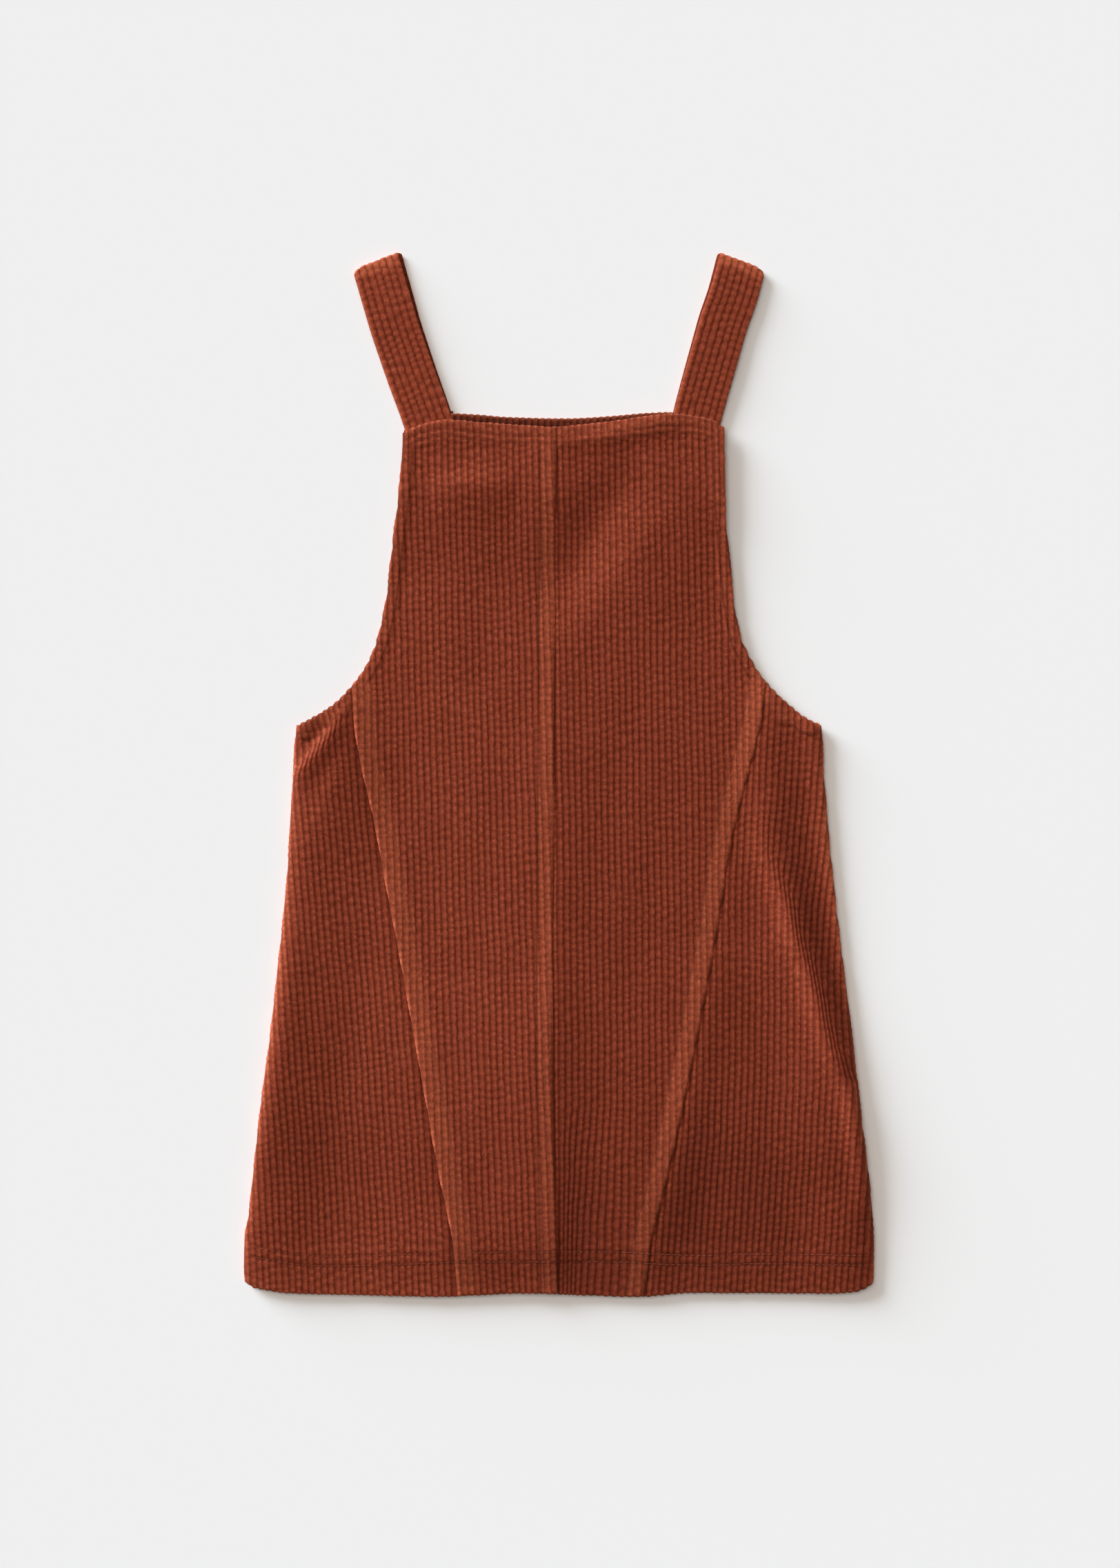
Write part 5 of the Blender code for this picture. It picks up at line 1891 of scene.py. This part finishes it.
def front_panels(corduroy: Material) -> list[FrontPanel]:
    """Lay out the four panels of the front.

    Args:
        corduroy: Their cloth.

    Returns:
        The panels, from the centre outwards.
    """
    middle = 0.5 * (REFERENCE_Y + CENTRE_SEAM[-1].y)
    centre_top = sign_change(lambda y: float(y - front_neck.at(centre_seam.at(y))),
                             REFERENCE_Y, middle)
    arm_left = sign_change(lambda y: float(armhole_left.at(y) - shaped_left.at(y)),
                           ARMHOLE_LEFT[0].y, ARMHOLE_LEFT[-1].y)
    arm_right = sign_change(lambda y: float(shaped_right.at(y) - armhole_right.at(y)),
                            ARMHOLE_RIGHT[0].y, ARMHOLE_RIGHT[-1].y)
    seams = (centre_seam, shaped_left, shaped_right)
    lows = [sign_change(lambda y, seam=seam: float(y - hem.at(seam.at(y))), middle,
                        CENTRE_SEAM[-1].y - 0.003) for seam in seams]
    centre_low, left_low, right_low = lows
    x_centre_top = float(centre_seam.at(centre_top))
    x_centre, x_left, x_right = (float(seam.at(low)) for seam, low in zip(seams, lows))
    hem_band = Band(0.0210, 0.0003, pile=0.92, press_and_sheen=0.08)
    neck_band = Band(0.0110, 0.0007, 0.0020, pile=0.75, press_and_sheen=0.22)
    arm_band = Band(0.0056, 0.0005, pile=1.10, press_and_sheen=0.28)
    seam_band = Band(0.0100, 0.0008, 0.0040, pile=0.72, press_and_sheen=0.62, top=0.0693, reach=0.0130)
    rows = (stitched_row(HEM_ROW, dusk=0.42),
            stitched_row(HEM_ROW, offset=0.0060, dusk=0.30),
            *(stitched_row(NECK_ROW, offset=offset, sink=0.0002, flatten=0.5, dusk=0.35,
                           width=0.0008, shown=False) for offset in (0.0, -0.0040)))
    # Dents along the seams are painted shade, barely sunk
    dent = {"sink": 0.0, "flatten": 0.10, "dusk": 0.45, "width": 0.00075, "shown": False}
    faint = {**dent, "dusk": 0.20}
    tuck = {"sink": 0.0003, "flatten": 0.55, "dusk": 0.42, "width": 0.0009, "shown": False}
    bottom = HEM[0].y - 0.010
    left_dents = (
        StitchLine(centre_seam, bottom, centre_top - 0.010, -0.0095, **dent),
        StitchLine(shaped_left, bottom, arm_left - 0.006, 0.0107, **faint),
        StitchLine(armhole_left, arm_left, ARMHOLE_LEFT[0].y - 0.008, 0.0067, **dent))
    right_dents = (
        StitchLine(shaped_right, bottom, arm_right - 0.006, -0.0107, **faint),
        StitchLine(armhole_right, arm_right, ARMHOLE_RIGHT[0].y - 0.008, -0.0067, **dent))
    # Brightness levels by height are painted shade, darker towards the lower right and the hem; a
    # rim below 0 paints shade along an edge that faces the lamp.
    centre_left = FrontPanel(
        "centre_front_left", corduroy, seed=2, stitch_lines=rows + left_dents,
        painted_shade_levels=((-0.060, 1.0), (-0.140, 0.98), (-0.200, 0.90), (-0.290, 0.84)),
        edges=[
            Edge(centre_seam, -1, Finish.LAPPED, centre_top, centre_low, -SEAM_LAP,
                 Band(0.0088, 0.0007, pile=0.72, press_and_sheen=0.48, reach=0.0170, hem_height=0.0010)),
            Edge(hem, 1, Finish.TURNED, x_centre, x_left, band=hem_band),
            Edge(shaped_left, 1, Finish.LAPPED, left_low, arm_left, -SEAM_LAP, seam_band, rim=0.3),
            Edge(armhole_left, 1, Finish.TURNED, arm_left, ARMHOLE_LEFT[0].y,
                 band=arm_band, rim=-0.6),
            Edge(front_neck, -1, Finish.TURNED, ARMHOLE_LEFT[0].x, x_centre_top,
                 band=neck_band, rim=-0.3),
        ],
        grain=Grain(((0.20, 1.5), (-0.10, 1.6), (-0.28, 2.4), (-0.32, 3.2)), phase=0.2))
    centre_right = FrontPanel(
        "centre_front_right", corduroy, seed=3, stitch_lines=rows + right_dents,
        painted_shade_levels=((0.080, 0.97), (0.0, 0.88), (-0.060, 0.87), (-0.150, 0.83),
               (-0.200, 0.77), (-0.270, 0.72)),
        edges=[
            Edge(centre_seam, 1, Finish.SEAM, centre_low, centre_top),
            Edge(front_neck, -1, Finish.TURNED, x_centre_top, ARMHOLE_RIGHT[0].x,
                 band=neck_band, rim=-0.3),
            Edge(armhole_right, -1, Finish.TURNED, ARMHOLE_RIGHT[0].y, arm_right, band=arm_band),
            Edge(shaped_right, -1, Finish.LAPPED, arm_right, right_low, -SEAM_LAP, seam_band),
            Edge(hem, 1, Finish.TURNED, x_right, x_centre, band=hem_band),
        ],
        grain=Grain(((0.20, 1.0), (0.0, 1.0), (-0.20, 0.2), (-0.32, -1.0)),
                    (CENTRE_GATHER,), phase=0.45))
    left = FrontPanel(
        "side_front_left", corduroy, seed=4, side=-1,
        stitch_lines=rows[:2] + tuple(
            stitched_row(row, **tuck) for row in UNDERARM_ROWS_LEFT),
        painted_shade_levels=((0.0, 0.93), (-0.060, 1.02), (-0.120, 1.03), (-0.160, 0.97),
               (-0.240, 0.82), (-0.300, 0.97)),
        edges=[
            Edge(shaped_left, -1, Finish.SEAM, arm_left, left_low),
            Edge(hem, 1, Finish.TURNED, x_left, SIDE_LEFT[-1].x, band=hem_band),
            Edge(side_left, 1, Finish.SIDE, SIDE_LEFT[-1].y, ARMHOLE_LEFT[-1].y, rim=0.4),
            Edge(armhole_left, 1, Finish.TURNED, ARMHOLE_LEFT[-1].y, arm_left,
                 band=arm_band, rim=-0.8),
        ],
        grain=Grain(((0.04, 4.0), (-0.05, 5.0), (-0.20, 4.0), (-0.32, 2.0)),
                    (LEFT_CREASE_GATHER,)))
    right = FrontPanel(
        "side_front_right", corduroy, seed=5, side=1,
        stitch_lines=rows[:2] + tuple(
            stitched_row(row, **tuck) for row in UNDERARM_ROWS_RIGHT),
        painted_shade_levels=((0.0, 0.84), (-0.050, 0.85), (-0.100, 0.87), (-0.150, 0.82),
               (-0.200, 0.76), (-0.280, 0.70)),
        edges=[
            Edge(shaped_right, 1, Finish.SEAM, right_low, arm_right),
            Edge(armhole_right, -1, Finish.TURNED, arm_right, ARMHOLE_RIGHT[-1].y, band=arm_band),
            Edge(side_right, -1, Finish.SIDE, ARMHOLE_RIGHT[-1].y, SIDE_RIGHT[-1].y, rim=0.8),
            Edge(hem, 1, Finish.TURNED, SIDE_RIGHT[-1].x, x_right, band=hem_band),
        ],
        grain=Grain(((0.04, -2.0), (-0.04, -2.5), (-0.10, 0.0), (-0.16, 0.0),
                     (-0.22, -3.0), (-0.32, -4.0)), (RIGHT_FOLD_GATHER,)))
    return [centre_left, centre_right, left, right]


def back_piece(corduroy: Material) -> Back:
    """Lay out the back."""
    inset = 0.0006
    return Back(
        "back", corduroy, rests_on=(), facing=-1, seed=6, wale=BACK_WALE, columns=6,
        row_step=0.0030, beads=0.0,
        edges=[
            Edge(side_left, 1, Finish.SIDE, ARMHOLE_LEFT[-1].y, SIDE_LEFT[-1].y),
            Edge(hem, 1, Finish.TURNED, SIDE_LEFT[-1].x, SIDE_RIGHT[-1].x),
            Edge(side_right, -1, Finish.SIDE, SIDE_RIGHT[-1].y, ARMHOLE_RIGHT[-1].y),
            Edge(armhole_right, -1, Finish.TURNED, ARMHOLE_RIGHT[-1].y,
                 BACK_SHOULDER_RIGHT[1].y, inset),
            Edge(SmoothCurve(BACK_SHOULDER_RIGHT), -1, Finish.HIDDEN,
                 BACK_SHOULDER_RIGHT[1].x, BACK_SHOULDER_RIGHT[0].x),
            Edge(back_neck, -1, Finish.TURNED, BACK_NECK[-1].x, BACK_NECK[0].x),
            Edge(SmoothCurve(BACK_SHOULDER_LEFT), -1, Finish.HIDDEN,
                 BACK_SHOULDER_LEFT[1].x, BACK_SHOULDER_LEFT[0].x),
            Edge(armhole_left, 1, Finish.TURNED, BACK_SHOULDER_LEFT[0].y,
                 ARMHOLE_LEFT[-1].y, inset),
        ],
        grain=Grain(wander=0.0))


def neck_facing(corduroy: Material) -> NeckFacing:
    """Lay out the facing inside the back neck."""
    left, right, depth, splay = -0.0661, 0.0652, 0.026, 0.0034
    top_left, top_right = float(back_neck.at(left)), float(back_neck.at(right))
    low = SmoothCurve([Point(p.x, p.y - depth) for p in BACK_NECK])
    ends = [SmoothCurve((Point(x - s, top + 0.01), Point(x + 4.0 * s, top - 0.04)),
                        Reading.BY_HEIGHT)
            for x, top, s in ((left, top_left, splay), (right, top_right, 0.0))]
    return NeckFacing(
        "back_neck_facing", corduroy, slot="corduroy_facing", seed=7, wale=FACING_WALE,
        # Painted shadow under the front's neck edge
        painted_shade_levels=((0.0, 0.62),),
        edges=[
            Edge(back_neck, -1, Finish.TURNED, left, right, SEAM_GAP),
            Edge(ends[1], -1, Finish.HIDDEN, top_right, top_right - depth),
            Edge(low, 1, Finish.HIDDEN, right, left),
            Edge(ends[0], 1, Finish.HIDDEN, top_left - depth, top_left),
        ],
        grain=Grain(wander=0.0002))


# ---- Studio ----
@dataclass(frozen=True)
class Studio:
    """Pale paper, soft light from the upper left and a camera straight above.

    Attributes:
        view_height: Height of what the camera sees on the surface.
        centre: What it looks at.
        lens: Its focal length in millimetres.
    """

    view_height: float = 0.95508
    centre: Point = Point(0.00063, -0.00504)
    lens: float = 100.0

    SENSOR = 36.0
    SUBJECT_HEIGHT = 0.004
    FLOOR_HALF = 3.0
    FLOOR_HEIGHT = -0.0003
    # Light on the paper from the walls, and how bright the walls look
    WALL_LIGHT = 0.06
    WALL_LOOK = 0.86
    # name, light on the paper, elevation and azimuth, spread (degrees)
    LAMPS = (
        ("overhead_softbox", (0.415, 0.375, 0.335), 78.0, 120.0, 40.0),
        ("side_softbox", (0.140, 0.130, 0.120), 38.0, 135.0, 50.0),
        ("low_softbox", (0.385, 0.435, 0.485), 13.5, 139.0, 31.0),
    )

    def build(self) -> None:
        """Set up the camera, the lamps, the paper and the walls."""
        self.place_camera()
        for lamp in self.LAMPS:
            self.place_lamp(*lamp)
        self.lay_paper()
        world = bpy.data.worlds.new("studio_walls")
        world.use_nodes = True
        graph = Graph(world.node_tree)
        seen = graph.node("ShaderNodeLightPath").outputs["Is Camera Ray"]
        walls = world.node_tree.nodes["Background"]
        walls.inputs["Color"].default_value = (1.0, 1.0, 1.0, 1.0)
        graph.feed(walls.inputs["Strength"], graph.math("+", 
            self.WALL_LIGHT, graph.math("*", seen, self.WALL_LOOK - self.WALL_LIGHT)))
        bpy.context.scene.world = world
        bpy.context.scene.view_settings.view_transform = "Standard"

    def place_camera(self) -> None:
        """Hang the camera so that its frame has the right size on the surface."""
        camera = bpy.data.cameras.new("camera")
        camera.lens = self.lens
        camera.sensor_width = self.SENSOR
        camera.clip_end = 20.0
        item = new_object("camera", camera)
        far = self.view_height * self.lens / self.SENSOR
        item.location = (self.centre.x, self.centre.y, self.SUBJECT_HEIGHT + far)
        bpy.context.scene.camera = item

    @staticmethod
    def place_lamp(name: str, light: Colour, elevation: float, azimuth: float,
                   spread: float) -> None:
        """Add a distant soft lamp.

        Args:
            name: Its name.
            light: What it gives to level white paper, for red, green and blue.
            elevation: Its height over the surface, in degrees.
            azimuth: The side it comes from, in degrees from +X towards +Y.
            spread: The angle it fills, in degrees.
        """
        up, turn = math.radians(elevation), math.radians(azimuth)
        lamp = bpy.data.lights.new(name, "SUN")
        lamp.energy = math.pi / math.sin(up)
        lamp.color = light
        lamp.angle = math.radians(spread)
        item = new_object(name, lamp)
        source = Vector((math.cos(up) * math.cos(turn), math.cos(up) * math.sin(turn),
                         math.sin(up)))
        item.rotation_euler = source.to_track_quat("Z", "Y").to_euler()
        item.location = source

    def lay_paper(self) -> None:
        """Lay the pale paper under the dress."""
        reach, z = self.FLOOR_HALF, self.FLOOR_HEIGHT
        mesh = bpy.data.meshes.new("paper")
        mesh.from_pydata([(-reach, -reach, z), (reach, -reach, z), (reach, reach, z),
                          (-reach, reach, z)], [], [(0, 1, 2, 3)])
        mesh.materials.append(FloorFinish("paper").build())
        paper = new_object("paper", mesh)


def main() -> None:
    """Build every piece of the dress in its place, and the studio round it."""
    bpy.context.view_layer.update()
    corduroy = CorduroyFinish("rust_corduroy").build()
    strap_corduroy = CorduroyFinish("rust_corduroy_strap").build()
    # The facing lies under the front's neck edge: its darker colours are painted shadow
    facing_corduroy_in_painted_shadow = CorduroyFinish("rust_corduroy_facing_painted_shadow", crest=(0.20, 0.036, 0.015),
                                     groove=(0.075, 0.012, 0.006)).build()
    thread = ThreadFinish("rust_thread").build()
    wales = WaleGrowth()
    stitches = StitchGrowth()

    for piece in (back_piece(corduroy), neck_facing(facing_corduroy_in_painted_shadow)):
        piece.declare(piece.build(wales))
    for panel in front_panels(corduroy):
        made = panel.build(wales)
        sewn = Topstitching("stitching_" + panel.node, panel, thread).build(stitches)
        panel.declare(made, [sewn] if sewn else [])
    # Each strap's tone is painted shade, the right one darker, away from the lamp
    Strap("strap_left", strap_corduroy, STRAP_LINE_LEFT,
          BACK_SHOULDER_LEFT, 0.0306, 0.0022, -1, 11, tone_with_painted_shade=0.90).build(wales)
    Strap("strap_right", strap_corduroy, STRAP_LINE_RIGHT,
          BACK_SHOULDER_RIGHT, 0.0305, 0.0016, 1, 12, tone_with_painted_shade=0.83, flank_light_strength=0.6).build(wales)
    Studio().build()


if __name__ == "__main__":
    main()
